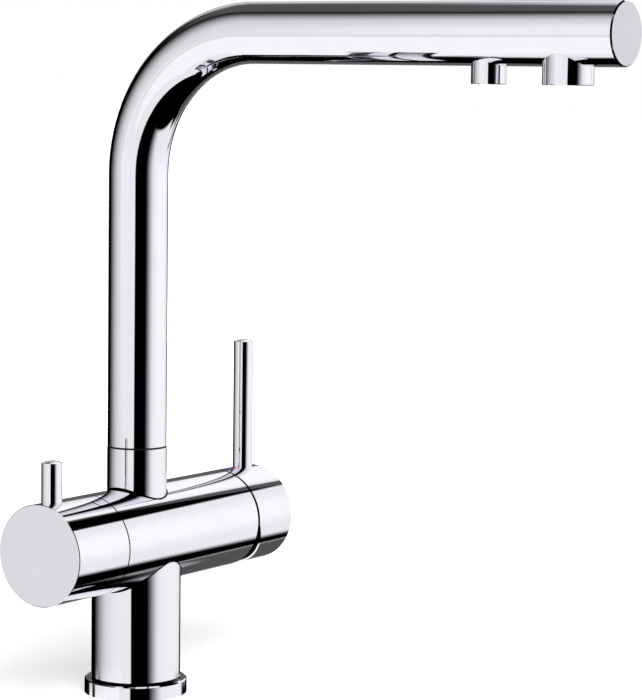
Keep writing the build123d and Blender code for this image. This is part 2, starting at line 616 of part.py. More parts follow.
def grub_screw(x, reach):
    """Grub screw with a hexagon socket, tightened up against the stem or the spindle."""
    with BuildPart() as screw:
        rod(level(BARREL_Z - reach - GRUB_L, x), GRUB_R, GRUB_L)
        with BuildSketch(level(BARREL_Z - reach - GRUB_L, x)):
            RegularPolygon(GRUB_HEX, 6, major_radius=False)
        extrude(amount=GRUB_HEX_DEPTH, mode=Mode.SUBTRACT)
    return screw.part


# Mixer handle: a cap with a slanted lower rim, so that it can tilt towards the barrel
with BuildPart() as mixer_handle:
    rod(across(HANDLE_START_X), BARREL_R, HANDLE_L)
    chamfer(mixer_handle.edges().filter_by(GeomType.CIRCLE).sort_by(Axis.X)[-1], CAP_EDGE)
    hollow(across(HANDLE_START_X), BARREL_R - HANDLE_WALL, HANDLE_FLOOR_X - HANDLE_START_X)
    slant_drop = BARREL_R + OVERRUN
    with BuildSketch(Plane(origin=(HANDLE_START_X, 0, BARREL_Z), x_dir=(1, 0, 0), z_dir=(0, -1, 0))):
        with BuildLine():
            Polyline((0, 0), (-OVERRUN, 0), (-OVERRUN, -slant_drop),
                     (slant_drop * tan(radians(HANDLE_SLANT)), -slant_drop), (0, 0))
        make_face()
    extrude(amount=BARREL_R + OVERRUN, both=True, mode=Mode.SUBTRACT)
    with BuildSketch(across(HANDLE_FLOOR_X)):
        Rectangle(STEM_SIDE + 2 * STEM_SLACK, STEM_SIDE + 2 * STEM_SLACK)
    extrude(amount=STEM_END_X - HANDLE_FLOOR_X + STEM_SLACK, mode=Mode.SUBTRACT)
    lever_hole(MIXER_LEVER_X)
    grub_hole(MIXER_LEVER_X, STEM_SIDE / 2)
    for mark_x in (COLD_MARK_X, HOT_MARK_X):
        hollow(level(BARREL_Z + BARREL_R - MARK_T, mark_x), MARK_R + TURN_FIT, MARK_T)
publish(mixer_handle.part, "mixer_handle")
publish(lever_pin(MIXER_LEVER_X, BARREL_Z + MIXER_LEVER_H), "mixer_lever")
publish(grub_screw(MIXER_LEVER_X, STEM_SIDE / 2), "mixer_grub_screw")

for mark_x, mark_name in ((COLD_MARK_X, "cold_mark"), (HOT_MARK_X, "hot_mark")):
    with BuildPart() as mark:
        rod(level(BARREL_Z + BARREL_R - MARK_T, mark_x), MARK_R, MARK_T)
        rod(across(mark_x - MARK_R), BARREL_R, 2 * MARK_R, mode=Mode.INTERSECT)
    publish(mark.part, mark_name)


# Filtered-water knob, its lever and its grub screw
with BuildPart() as filter_knob:
    rod(across(KNOB_END_X), BARREL_R, KNOB_L)
    chamfer(filter_knob.edges().filter_by(GeomType.CIRCLE).sort_by(Axis.X)[0], CAP_EDGE)
    hollow(across(KNOB_FLOOR_X), BARREL_R - KNOB_WALL, KNOB_START_X - KNOB_FLOOR_X)
    hollow(across(SPINDLE_END_X - OVERRUN), SPINDLE_R + TURN_FIT, KNOB_FLOOR_X - SPINDLE_END_X + OVERRUN)
    lever_hole(FILTER_LEVER_X)
    grub_hole(FILTER_GRUB_X, SPINDLE_R)
publish(filter_knob.part, "filter_knob")
publish(lever_pin(FILTER_LEVER_X, BARREL_Z + FILTER_LEVER_H), "filter_lever")
publish(grub_screw(FILTER_GRUB_X, SPINDLE_R), "filter_grub_screw")


# Filtered-water valve: a quarter-turn ceramic valve screwed into the barrel's other end
with BuildPart() as valve_seat_seal:
    rod(across(VALVE_FIXED_DISC_X), VALVE_DISC_R, SEAT_SEAL_T, bore=SEAT_SEAL_INNER_R)
publish(valve_seat_seal.part, "valve_seat_seal")

with BuildPart() as valve_body:
    hollow_end_x = SPINDLE_FOOT_X - VALVE_FOOT_SLACK
    rod(across(VALVE_HEX_X), VALVE_BODY_R, VALVE_INNER_X - VALVE_HEX_X)
    with BuildSketch(across(VALVE_HEX_END_X)):
        RegularPolygon(VALVE_HEX_FLATS / 2, 6, major_radius=False)
    extrude(amount=VALVE_HEX_T)
    rod(across(VALVE_NECK_END_X), SPINDLE_R + VALVE_NECK_WALL, VALVE_NECK_L)
    hollow(across(hollow_end_x), VALVE_BODY_BORE_R, VALVE_INNER_X - hollow_end_x)
    hollow(across(VALVE_NECK_END_X), SPINDLE_R + TURN_FIT, hollow_end_x - VALVE_NECK_END_X)
    rod(across(VALVE_RING_X - VALVE_RING_W / 2), VALVE_BODY_R + OVERRUN, VALVE_RING_W,
        bore=VALVE_BODY_R - VALVE_RING_DEPTH, mode=Mode.SUBTRACT)
    with BuildSketch(level(BARREL_Z, SPINDLE_X - SPINDLE_FOOT_L / 2)):
        Rectangle(VALVE_WINDOW_L, VALVE_WINDOW_W)
    extrude(amount=VALVE_BODY_R + OVERRUN, both=True, mode=Mode.SUBTRACT)
publish(valve_body.part, "valve_body")

with BuildPart() as valve_body_seal:
    ring_seal(across(VALVE_RING_X), VALVE_BODY_R - VALVE_RING_DEPTH, VALVE_BORE_R)
publish(valve_body_seal.part, "valve_body_seal")

# The fixed disc's holes stand upright, the moving disc's lie flat while the valve is shut
for disc_x, first_angle, disc_name in ((VALVE_FIXED_DISC_X, 90, "valve_fixed_disc"),
                                       (VALVE_MOVING_DISC_X, 0, "valve_moving_disc")):
    with BuildPart() as valve_disc:
        rod(across(disc_x - VALVE_DISC_T), VALVE_DISC_R, VALVE_DISC_T)
        with BuildSketch(across(disc_x - VALVE_DISC_T)):
            with PolarLocations(VALVE_DISC_HOLE_CIRCLE_R, 2, start_angle=first_angle):
                Circle(VALVE_DISC_HOLE_R)
        extrude(amount=VALVE_DISC_T, mode=Mode.SUBTRACT)
    publish(valve_disc.part, disc_name)

first_ring_x = VALVE_NECK_END_X + SPINDLE_GROOVE_INSET
spindle_ring_places = [first_ring_x + i * SPINDLE_GROOVE_PITCH for i in range(SPINDLE_RING_COUNT)]
with BuildPart() as valve_spindle:
    rod(across(SPINDLE_FOOT_X), VALVE_BODY_BORE_R - SPINDLE_FOOT_FIT, SPINDLE_FOOT_L)
    with BuildSketch(across(SPINDLE_FOOT_X)):
        Rectangle(2 * VALVE_BODY_BORE_R, SPINDLE_FOOT_FLATS)
    extrude(amount=SPINDLE_FOOT_L, mode=Mode.INTERSECT)
    rod(across(SPINDLE_END_X), SPINDLE_R, SPINDLE_FOOT_X - SPINDLE_END_X)
    for groove_x in spindle_ring_places:
        rod(across(groove_x - SPINDLE_GROOVE_W / 2), SPINDLE_R + OVERRUN, SPINDLE_GROOVE_W,
            bore=SPINDLE_R - SPINDLE_GROOVE_DEPTH, mode=Mode.SUBTRACT)
    rod(across(VALVE_NECK_END_X - CIRCLIP_T - TURN_FIT), SPINDLE_R + OVERRUN, CIRCLIP_T,
        bore=SPINDLE_R - CIRCLIP_DEPTH, mode=Mode.SUBTRACT)
    with BuildSketch(across(SPINDLE_END_X)):
        with PolarLocations(SPINDLE_R, SPLINE_COUNT):
            Circle(SPLINE_R)
    extrude(amount=SPLINE_L, mode=Mode.SUBTRACT)
publish(valve_spindle.part, "valve_spindle")

with BuildPart() as valve_spindle_seals:
    for groove_x in spindle_ring_places:
        ring_seal(across(groove_x), SPINDLE_R - SPINDLE_GROOVE_DEPTH, SPINDLE_R + TURN_FIT)
publish(valve_spindle_seals.part, "valve_spindle_seals")

with BuildPart() as valve_circlip:
    circlip_plane = across(VALVE_NECK_END_X - CIRCLIP_T - TURN_FIT)
    circlip_r = SPINDLE_R + CIRCLIP_REACH
    rod(circlip_plane, circlip_r, CIRCLIP_T, bore=SPINDLE_R - CIRCLIP_DEPTH + SEAL_FIT)
    with BuildSketch(circlip_plane):
        with Locations((0, circlip_r)):
            Rectangle(CIRCLIP_GAP_W, 2 * circlip_r)
    extrude(amount=CIRCLIP_T, mode=Mode.SUBTRACT)
publish(valve_circlip.part, "valve_circlip")


# Swivel between the neck and the spout
with BuildPart() as glide_ring:
    rod(level(NECK_TOP_Z), SPOUT_R - GLIDE_INSET, GLIDE_T, bore=NECK_BORE_R)
publish(glide_ring.part, "glide_ring")

ring_levels = (LOWER_RING_LEVEL, UPPER_RING_LEVEL)
bearing_levels = (LOWER_BEARING_LEVEL, UPPER_BEARING_LEVEL)
stop_screw_half_arc = degrees(asin(STOP_SCREW_R / (SWIVEL_R - STOP_SCREW_TIP)))
stop_half_arc = SWIVEL_HALF_ARC + STOP_GROOVE_MARGIN + stop_screw_half_arc
with BuildPart() as swivel_spigot:
    rod(level(SWIVEL_FOOT_Z), SWIVEL_R, SPOUT_FOOT_Z - SWIVEL_FOOT_Z)
    rod(level(SPOUT_FOOT_Z), SPOUT_BORE_R - TURN_FIT, SWIVEL_HEAD_L)
    hollow(level(SWIVEL_FOOT_Z), SWIVEL_R - SWIVEL_WALL, SPOUT_FOOT_Z - SWIVEL_FOOT_Z + SWIVEL_HEAD_L)
    for ring_level, groove_w, groove_depth in (
            [(height, SWIVEL_RING_W, SWIVEL_RING_DEPTH) for height in ring_levels]
            + [(height, BEARING_W, BEARING_DEPTH) for height in bearing_levels]):
        rod(level(SWIVEL_FOOT_Z + ring_level), SWIVEL_R + OVERRUN, groove_w, bore=SWIVEL_R - groove_depth,
            mode=Mode.SUBTRACT)
    # The stop groove faces back and ends where the swivel does
    start = radians(90 - stop_half_arc)
    with BuildSketch(Plane(origin=(0, 0, STOP_GROOVE_Z), x_dir=(cos(start), sin(start), 0),
                           z_dir=(sin(start), -cos(start), 0))):
        with Locations((SWIVEL_R + (OVERRUN - STOP_GROOVE_DEPTH) / 2, 0)):
            Rectangle(STOP_GROOVE_DEPTH + OVERRUN, STOP_GROOVE_W)
    revolve(axis=Axis.Z, revolution_arc=2 * stop_half_arc, mode=Mode.SUBTRACT)
publish(swivel_spigot.part, "swivel_spigot")

with BuildPart() as swivel_seals:
    for ring_level in ring_levels:
        ring_seal(level(SWIVEL_FOOT_Z + ring_level + SWIVEL_RING_W / 2), SWIVEL_R - SWIVEL_RING_DEPTH,
                  NECK_BORE_R)
publish(swivel_seals.part, "swivel_seals")

with BuildPart() as swivel_bearings:
    for ring_level in bearing_levels:
        rod(level(SWIVEL_FOOT_Z + ring_level + SEAL_FIT), NECK_BORE_R - SEAL_FIT, BEARING_W - 2 * SEAL_FIT,
            bore=SWIVEL_R - BEARING_DEPTH + SEAL_FIT)
publish(swivel_bearings.part, "swivel_bearings")

with BuildPart() as spout_stop_screw:
    tip_y = SWIVEL_R - STOP_SCREW_TIP
    head_y = sqrt(NECK_R ** 2 - STOP_SCREW_R ** 2) - STOP_SCREW_INSET
    rod(Plane(origin=(0, tip_y, STOP_GROOVE_Z), x_dir=(1, 0, 0), z_dir=(0, 1, 0)), STOP_SCREW_R,
        head_y - tip_y)
    with BuildSketch(Plane(origin=(0, head_y, STOP_GROOVE_Z), x_dir=(1, 0, 0), z_dir=(0, 1, 0))):
        RegularPolygon(STOP_HEX, 6, major_radius=False)
    extrude(amount=-STOP_HEX_DEPTH, mode=Mode.SUBTRACT)
publish(spout_stop_screw.part, "spout_stop_screw")


# Spout: one bent tube with a flush end cap and two outlets under its end
def saddle_cut(radius):
    """Cut that seats an outlet on the spout's level run."""
    rod(Plane(origin=(0, 0, SPOUT_Z), x_dir=(1, 0, 0), z_dir=(0, -1, 0)), radius, SPOUT_END + OVERRUN,
        mode=Mode.SUBTRACT)


def tenon_top(radius):
    """Height at which an outlet's tenon ends level with the spout's bore."""
    return SPOUT_Z - sqrt(SPOUT_BORE_R ** 2 - radius ** 2)


end_plane = Plane(origin=(0, -SPOUT_END, SPOUT_Z), x_dir=(1, 0, 0), z_dir=(0, 1, 0))
spout_cap_r = SPOUT_R - SPOUT_CAP_INSET
with BuildPart() as spout_tube:
    with BuildLine():
        FilletPolyline((0, 0, SPOUT_FOOT_Z), (0, 0, SPOUT_Z), (0, -SPOUT_END, SPOUT_Z), radius=SPOUT_BEND_R)
    with BuildSketch(level(SPOUT_FOOT_Z)):
        Circle(SPOUT_R)
        Circle(SPOUT_BORE_R, mode=Mode.SUBTRACT)
    sweep()
    rim_edges = spout_tube.edges().filter_by(GeomType.CIRCLE).group_by(Axis.Y)[0]
    chamfer(rim_edges.sort_by(SortBy.RADIUS)[-1], SPOUT_RIM_EDGE)
    hollow(end_plane, spout_cap_r + TURN_FIT, SPOUT_CAP_T)
    for outlet_y, tenon_r in ((FILTER_OUTLET_Y, FILTER_TENON_R), (MIXER_OUTLET_Y, MIXER_TENON_R)):
        hollow(level(SPOUT_Z - SPOUT_R - OVERRUN, 0, -outlet_y), tenon_r + TURN_FIT, SPOUT_R + OVERRUN)
publish(spout_tube.part, "spout_tube")

with BuildPart() as spout_end_cap:
    rod(end_plane, spout_cap_r, SPOUT_CAP_T)
    rod(end_plane, SPOUT_BORE_R - TURN_FIT, SPOUT_CAP_PLUG_L)
publish(spout_end_cap.part, "spout_end_cap")

with BuildPart() as filter_outlet:
    rod(level(OUTLET_BOTTOM_Z, 0, -FILTER_OUTLET_Y), FILTER_OUTLET_R, SPOUT_Z - OUTLET_BOTTOM_Z)
    saddle_cut(SPOUT_R)
    rod(level(OUTLET_BOTTOM_Z, 0, -FILTER_OUTLET_Y), FILTER_TENON_R,
        tenon_top(FILTER_TENON_R) - OUTLET_BOTTOM_Z)
    hollow(level(OUTLET_BOTTOM_Z, 0, -FILTER_OUTLET_Y), FILTER_OUTLET_R - FILTER_OUTLET_WALL, FILTER_MOUTH_L)
    hollow(level(OUTLET_BOTTOM_Z, 0, -FILTER_OUTLET_Y), TUBE_R - TUBE_WALL, SPOUT_Z - OUTLET_BOTTOM_Z)
    hollow(level(OUTLET_BOTTOM_Z + FILTER_MOUTH_L + FILTER_THROAT_L, 0, -FILTER_OUTLET_Y),
           TUBE_R + TURN_FIT, SPOUT_Z - OUTLET_BOTTOM_Z)
    mouth_edges = filter_outlet.edges().filter_by(GeomType.CIRCLE).group_by(Axis.Z)[0]
    chamfer(mouth_edges.sort_by(SortBy.RADIUS)[-1], OUTLET_EDGE)
publish(filter_outlet.part, "filter_outlet")

aerator_seat_l = AERATOR_INSET + AERATOR_L + AERATOR_WASHER_T
aerator_r = MIXER_OUTLET_R - MIXER_OUTLET_WALL
with BuildPart() as mixer_outlet:
    rod(level(OUTLET_BOTTOM_Z, 0, -MIXER_OUTLET_Y), MIXER_OUTLET_R, SPOUT_Z - OUTLET_BOTTOM_Z)
    saddle_cut(SPOUT_R)
    rod(level(OUTLET_BOTTOM_Z, 0, -MIXER_OUTLET_Y), MIXER_TENON_R,
        tenon_top(MIXER_TENON_R) - OUTLET_BOTTOM_Z)
    hollow(level(OUTLET_BOTTOM_Z, 0, -MIXER_OUTLET_Y), MIXER_TENON_R - MIXER_TENON_WALL,
           SPOUT_Z - OUTLET_BOTTOM_Z)
    hollow(level(OUTLET_BOTTOM_Z, 0, -MIXER_OUTLET_Y), aerator_r, aerator_seat_l)
    mouth_edges = mixer_outlet.edges().filter_by(GeomType.CIRCLE).group_by(Axis.Z)[0]
    chamfer(mouth_edges.sort_by(SortBy.RADIUS)[-1], OUTLET_EDGE)
publish(mixer_outlet.part, "mixer_outlet")


# Aerator: threaded shell, perforated insert and washer
shell_z = OUTLET_BOTTOM_Z + AERATOR_INSET
insert_r = aerator_r - TURN_FIT - AERATOR_WALL
with BuildPart() as aerator_shell:
    rod(level(shell_z, 0, -MIXER_OUTLET_Y), aerator_r - TURN_FIT, AERATOR_L, bore=insert_r)
    rod(level(shell_z, 0, -MIXER_OUTLET_Y), insert_r, AERATOR_LIP, bore=insert_r - AERATOR_LIP)
publish(aerator_shell.part, "aerator_shell")

with BuildPart() as aerator_insert:
    rod(level(shell_z + AERATOR_LIP, 0, -MIXER_OUTLET_Y), insert_r - TURN_FIT, AERATOR_L - AERATOR_LIP)
    hollow(level(shell_z + AERATOR_LIP + AERATOR_GRID_T, 0, -MIXER_OUTLET_Y),
           insert_r - TURN_FIT - AERATOR_WALL, AERATOR_L)
    with BuildSketch(level(shell_z + AERATOR_LIP, 0, -MIXER_OUTLET_Y)):
        Circle(AERATOR_HOLE_R)
        with PolarLocations(AERATOR_INNER_CIRCLE_R, AERATOR_INNER_HOLES):
            Circle(AERATOR_HOLE_R)
        with PolarLocations(AERATOR_RING_CIRCLE_R, AERATOR_RING_HOLES):
            Circle(AERATOR_HOLE_R)
    extrude(amount=AERATOR_GRID_T, mode=Mode.SUBTRACT)
publish(aerator_insert.part, "aerator_insert")

with BuildPart() as aerator_washer:
    rod(level(shell_z + AERATOR_L, 0, -MIXER_OUTLET_Y), aerator_r - TURN_FIT, AERATOR_WASHER_T,
        bore=aerator_r - TURN_FIT - AERATOR_WASHER_W)
publish(aerator_washer.part, "aerator_washer")

with BuildPart() as stream_former:
    rod(level(OUTLET_BOTTOM_Z + FORMER_INSET, 0, -FILTER_OUTLET_Y),
        FILTER_OUTLET_R - FILTER_OUTLET_WALL - TURN_FIT, FORMER_L)
    with BuildSketch(level(OUTLET_BOTTOM_Z + FORMER_INSET, 0, -FILTER_OUTLET_Y)):
        Circle(FORMER_HOLE_R)
        with PolarLocations(FORMER_CIRCLE_R, FORMER_HOLES):
            Circle(FORMER_HOLE_R)
    extrude(amount=FORMER_L, mode=Mode.SUBTRACT)
publish(stream_former.part, "stream_former")


# Filtered-water tube: from its sealed socket in the body to the small outlet
with BuildPart() as filtered_water_tube:
    with BuildLine():
        FilletPolyline((0, 0, TUBE_SOCKET_FLOOR_Z), (0, 0, SPOUT_Z), (0, -FILTER_OUTLET_Y, SPOUT_Z),
                       (0, -FILTER_OUTLET_Y, OUTLET_BOTTOM_Z + FILTER_MOUTH_L + FILTER_THROAT_L),
                       radius=[SPOUT_BEND_R, TUBE_DROP_R])
    with BuildSketch(level(TUBE_SOCKET_FLOOR_Z)):
        Circle(TUBE_R)
        Circle(TUBE_R - TUBE_WALL, mode=Mode.SUBTRACT)
    sweep()
publish(filtered_water_tube.part, "filtered_water_tube")

with BuildPart() as tube_seal:
    ring_seal(level(TUBE_RING_Z + TUBE_RING_W / 2), TUBE_R, TUBE_R + TUBE_RING_DEPTH)
publish(tube_seal.part, "tube_seal")
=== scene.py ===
import math

import bpy
from bpy.props import FloatProperty, FloatVectorProperty, PointerProperty
from bpy.types import Operator, Panel, PropertyGroup
from mathutils import Matrix, Vector


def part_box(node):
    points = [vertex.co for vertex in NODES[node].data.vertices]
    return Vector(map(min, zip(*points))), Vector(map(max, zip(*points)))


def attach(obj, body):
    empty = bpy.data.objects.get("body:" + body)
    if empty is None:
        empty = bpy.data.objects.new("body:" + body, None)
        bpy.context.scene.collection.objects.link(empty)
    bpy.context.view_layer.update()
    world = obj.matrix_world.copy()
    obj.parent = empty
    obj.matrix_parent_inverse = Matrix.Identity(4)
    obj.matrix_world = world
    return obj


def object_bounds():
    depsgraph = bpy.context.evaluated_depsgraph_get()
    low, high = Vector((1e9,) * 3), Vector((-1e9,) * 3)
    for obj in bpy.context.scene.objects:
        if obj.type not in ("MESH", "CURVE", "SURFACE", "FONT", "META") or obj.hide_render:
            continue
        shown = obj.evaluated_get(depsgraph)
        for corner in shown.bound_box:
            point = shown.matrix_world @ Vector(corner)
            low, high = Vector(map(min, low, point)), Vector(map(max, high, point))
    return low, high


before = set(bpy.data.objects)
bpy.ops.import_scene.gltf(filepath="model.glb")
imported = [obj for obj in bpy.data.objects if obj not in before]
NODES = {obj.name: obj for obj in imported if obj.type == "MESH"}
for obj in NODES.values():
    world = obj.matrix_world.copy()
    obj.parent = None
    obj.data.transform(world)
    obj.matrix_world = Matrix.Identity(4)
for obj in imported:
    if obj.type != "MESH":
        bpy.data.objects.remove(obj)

bl_info = {
    "name": "Water filter tap",
    "version": (1, 0, 0),
    "blender": (4, 5, 0),
    "location": "View3D > Sidebar > Tap",
    "description": "Finishes and studio for a three-way tap with a filtered water outlet",
    "category": "Object",
}

CAD_LOW, CAD_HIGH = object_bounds()
BARREL_AXIS = sum(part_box("body_barrel"), Vector()) / 2
KNOB_AXIS = sum(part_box("filter_knob"), Vector()) / 2
SPOUT_END_AXIS = sum(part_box("spout_end_cap"), Vector()) / 2

# Finishes: noise and rings in features per metre, depths in metres
HAZE_SCALE = 70           # faint haze in the plating
SMEAR_SCALE = 900         # fine smears over the haze
SMEAR_STRETCH = (1, 1, 0.2)
POLISH_WAVE_SCALE = 22    # slow waves left by polishing
PLATED_RING_SCALE = 900   # turning marks that show through the plating
PLATED_RING_DEPTH = 0.0000012
LATHE_RING_SCALE = 500    # turning marks on bare metal
LATHE_RING_DEPTH = 0.000012
LATHE_CLOUD_SCALE = 140
MOULDED_CLOUD_SCALE = 120
# Near-black painted into the plating beside seams and inside the mixer handle: painted shade in the
# gaps
PAINTED_SHADE_TONE = (0.004, 0.004, 0.004, 1)

# Moulded surfaces: grain, its depth and how far the tone spreads
RUBBER = (1800, 0.00001, 0.2)
COARSE_RUBBER = (1800, 0.00002, 0.2)
PLASTIC = (1600, 0.00001, 0.1)
SMOOTH_PLASTIC = (1600, 0.000004, 0.1)
EVEN_PLASTIC = (1600, 0.00001, 0.04)
TUBE_PLASTIC = (1500, 0.000008, 0.04)
CERAMIC = (2400, 0.000004, 0.03)
ENAMEL = (900, 0.000003, 0.08)

# Share of the plating's waves on smaller pieces
TUBE_WAVES = 0.6
SMALL_WAVES = 0.5
CAP_WAVES = 0.3

WATER_TUBE_TONE = (0.8, 0.82, 0.84)
WATER_TUBE_SCATTER = (0.002, 0.002, 0.002)   # how deep light goes into it, in metres


# Node helpers

def add(tree, kind, inputs=None, **settings):
    """Adds a shader node, sets its options, and links or sets its inputs by name or number."""
    node = tree.nodes.new(kind)
    for name, value in settings.items():
        setattr(node, name, value)
    for key, value in (inputs or {}).items():
        if isinstance(value, bpy.types.NodeSocket):
            tree.links.new(value, node.inputs[key])
        else:
            node.inputs[key].default_value = value
    return node


def math_node(tree, operation, first, second=0.0):
    return add(tree, "ShaderNodeMath", {0: first, 1: second}, operation=operation).outputs[0]


def place(tree, stretch=(1, 1, 1), centre=(0, 0, 0)):
    """Coordinates of the piece in metres, measured from a centre and stretched along each axis."""
    where = add(tree, "ShaderNodeTexCoord").outputs["Object"]
    shift = add(tree, "ShaderNodeVectorMath", {0: where, 1: centre}, operation="SUBTRACT")
    scaled = add(
        tree, "ShaderNodeVectorMath", {0: shift.outputs[0], 1: stretch}, operation="MULTIPLY")
    return scaled.outputs[0]


def noise(tree, where, scale, detail=2.0, roughness=0.5):
    return add(
        tree, "ShaderNodeTexNoise",
        {"Vector": where, "Scale": scale, "Detail": detail, "Roughness": roughness},
    ).outputs["Fac"]


def between(tree, factor, low, high):
    """Spreads a noise, which keeps near its middle, from one number to another."""
    return add(
        tree, "ShaderNodeMapRange",
        {"Value": factor, "From Min": 0.3, "From Max": 0.7, "To Min": low, "To Max": high},
    ).outputs["Result"]


def two_tone(tree, factor, first, second):
    mixed = add(tree, "ShaderNodeMix", data_type="RGBA")
    tree.links.new(factor, mixed.inputs["Factor"])
    mixed.inputs["A"].default_value = (*first, 1)
    mixed.inputs["B"].default_value = (*second, 1)
    return mixed.outputs["Result"]


def bump(tree, height, depth, under=None):
    node = add(tree, "ShaderNodeBump", {"Height": height, "Strength": 1.0, "Distance": depth})
    if under is not None:
        tree.links.new(under, node.inputs["Normal"])
    return node.outputs["Normal"]


def near_seams(tree, seams):
    """1 beside any of the seam planes, each given with its axis and reach, else 0."""
    along = add(tree, "ShaderNodeSeparateXYZ", {0: place(tree)}).outputs
    mask = None
    for axis, seam, reach in seams:
        away = math_node(tree, "ABSOLUTE", math_node(tree, "SUBTRACT", along[axis], seam))
        step = math_node(tree, "LESS_THAN", away, reach)
        mask = step if mask is None else math_node(tree, "MAXIMUM", mask, step)
    return mask


def inside_of(tree, radius, end):
    """1 inside a radius about the barrel's axis, short of an end along X, else 0."""
    along = add(tree, "ShaderNodeSeparateXYZ", {0: place(tree)}).outputs["X"]
    away = add(
        tree, "ShaderNodeVectorMath", {0: place(tree, (0, 1, 1), BARREL_AXIS)}, operation="LENGTH"
    ).outputs["Value"]
    within = math_node(tree, "LESS_THAN", away, radius)
    return math_node(tree, "MULTIPLY", within, math_node(tree, "LESS_THAN", along, end))


def lathe_rings(tree, axis, centre, scale, distortion, detail):
    """Rings about an axis through a centre, as a lathe leaves them."""
    return add(
        tree, "ShaderNodeTexWave",
        {"Vector": place(tree, (1, 1, 1), centre), "Scale": scale, "Distortion": distortion,
         "Detail": detail, "Detail Scale": detail},
        wave_type="RINGS", rings_direction=axis,
    ).outputs["Fac"]


def new_finish(name):
    """An empty material and its Principled shader."""
    material = bpy.data.materials.new(name)
    material.use_nodes = True
    tree = material.node_tree
    tree.nodes.clear()
    shader = add(tree, "ShaderNodeBsdfPrincipled")
    out = add(tree, "ShaderNodeOutputMaterial")
    tree.links.new(shader.outputs[0], out.inputs["Surface"])
    return material, tree, shader


def shade(tone, factor):
    return tuple(min(1.0, part * factor) for part in tone)


# Finishes

def plated_chrome(
    name, waviness, turned_axis=None, turned_centre=(0, 0, 0), seams=(), inside=None
):
    """Polished plating with slow waves, a faint haze, and turning marks on turned pieces.

    It is painted near-black along the seams given and inside the radius given: painted shade where
    the gaps between pieces fall dark.
    """
    looks = bpy.context.scene.tap_finishes
    material, tree, shader = new_finish(name)
    where = place(tree)
    haze = noise(tree, where, HAZE_SCALE, 4)
    smear = noise(tree, place(tree, SMEAR_STRETCH), SMEAR_SCALE, 2)
    tone = two_tone(
        tree, between(tree, haze, 0, 1), shade(looks.chrome, 0.985), shade(looks.chrome, 1.01)
    )
    # Painted shade: near-black mixed into the colour beside the seams and inside the radius
    for mask in (
        near_seams(tree, seams) if seams else None,
        inside_of(tree, *inside) if inside else None,
    ):
        if mask is not None:
            painted_shade = add(tree, "ShaderNodeMix", data_type="RGBA")
            tree.links.new(mask, painted_shade.inputs["Factor"])
            tree.links.new(tone, painted_shade.inputs["A"])
            painted_shade.inputs["B"].default_value = PAINTED_SHADE_TONE
            tone = painted_shade.outputs["Result"]
    tree.links.new(tone, shader.inputs["Base Color"])
    rough = looks.chrome_roughness
    patches = between(tree, haze, rough * 0.6, rough * 1.4)
    fine = between(tree, smear, -rough * 0.25, rough * 0.25)
    tree.links.new(math_node(tree, "ADD", patches, fine), shader.inputs["Roughness"])
    normal = bump(tree, noise(tree, where, POLISH_WAVE_SCALE, 1), waviness)
    if turned_axis:
        rings = lathe_rings(tree, turned_axis, turned_centre, PLATED_RING_SCALE, 0.6, 1.0)
        normal = bump(tree, rings, PLATED_RING_DEPTH, normal)
    tree.links.new(normal, shader.inputs["Normal"])
    shader.inputs["Metallic"].default_value = 1.0
    return material


def turned_metal(name, tone, axis, centre=(0, 0, 0), *, roughness):
    """Bare metal off the lathe, with fine rings about its axis and a slightly uneven tone."""
    material, tree, shader = new_finish(name)
    where = place(tree)
    rings = lathe_rings(tree, axis, centre, LATHE_RING_SCALE, 1.5, 2.0)
    cloud = noise(tree, where, LATHE_CLOUD_SCALE, 5, 0.6)
    tree.links.new(
        two_tone(tree, between(tree, cloud, 0, 1), shade(tone, 0.86), shade(tone, 1.06)),
        shader.inputs["Base Color"],
    )
    spread = math_node(tree, "ADD", between(tree, cloud, roughness * 0.7, roughness * 1.2),
                       math_node(tree, "MULTIPLY", rings, roughness * 0.2))
    tree.links.new(spread, shader.inputs["Roughness"])
    tree.links.new(bump(tree, rings, LATHE_RING_DEPTH), shader.inputs["Normal"])
    shader.inputs["Metallic"].default_value = 1.0
    return material


def moulded(name, tone, surface, *, roughness):
    """Rubber, plastic, ceramic or enamel, with a fine grain and a cloudy tone."""
    grain, grain_depth, spread = surface
    material, tree, shader = new_finish(name)
    where = place(tree)
    cloud = noise(tree, where, MOULDED_CLOUD_SCALE, 4, 0.6)
    speck = noise(tree, where, grain, 3, 0.6)
    tree.links.new(
        two_tone(
            tree, between(tree, cloud, 0, 1), shade(tone, 1 - spread), shade(tone, 1 + spread)),
        shader.inputs["Base Color"],
    )
    tree.links.new(
        between(tree, speck, roughness * 0.85, roughness * 1.15), shader.inputs["Roughness"])
    tree.links.new(bump(tree, speck, grain_depth), shader.inputs["Normal"])
    return material


def milky_tube(name):
    """The milky plastic of the water tube."""
    material = moulded(name, WATER_TUBE_TONE, TUBE_PLASTIC, roughness=0.32)
    shader = next(n for n in material.node_tree.nodes if n.type == "BSDF_PRINCIPLED")
    shader.inputs["Subsurface Weight"].default_value = 0.4
    shader.inputs["Subsurface Radius"].default_value = WATER_TUBE_SCATTER
    return material


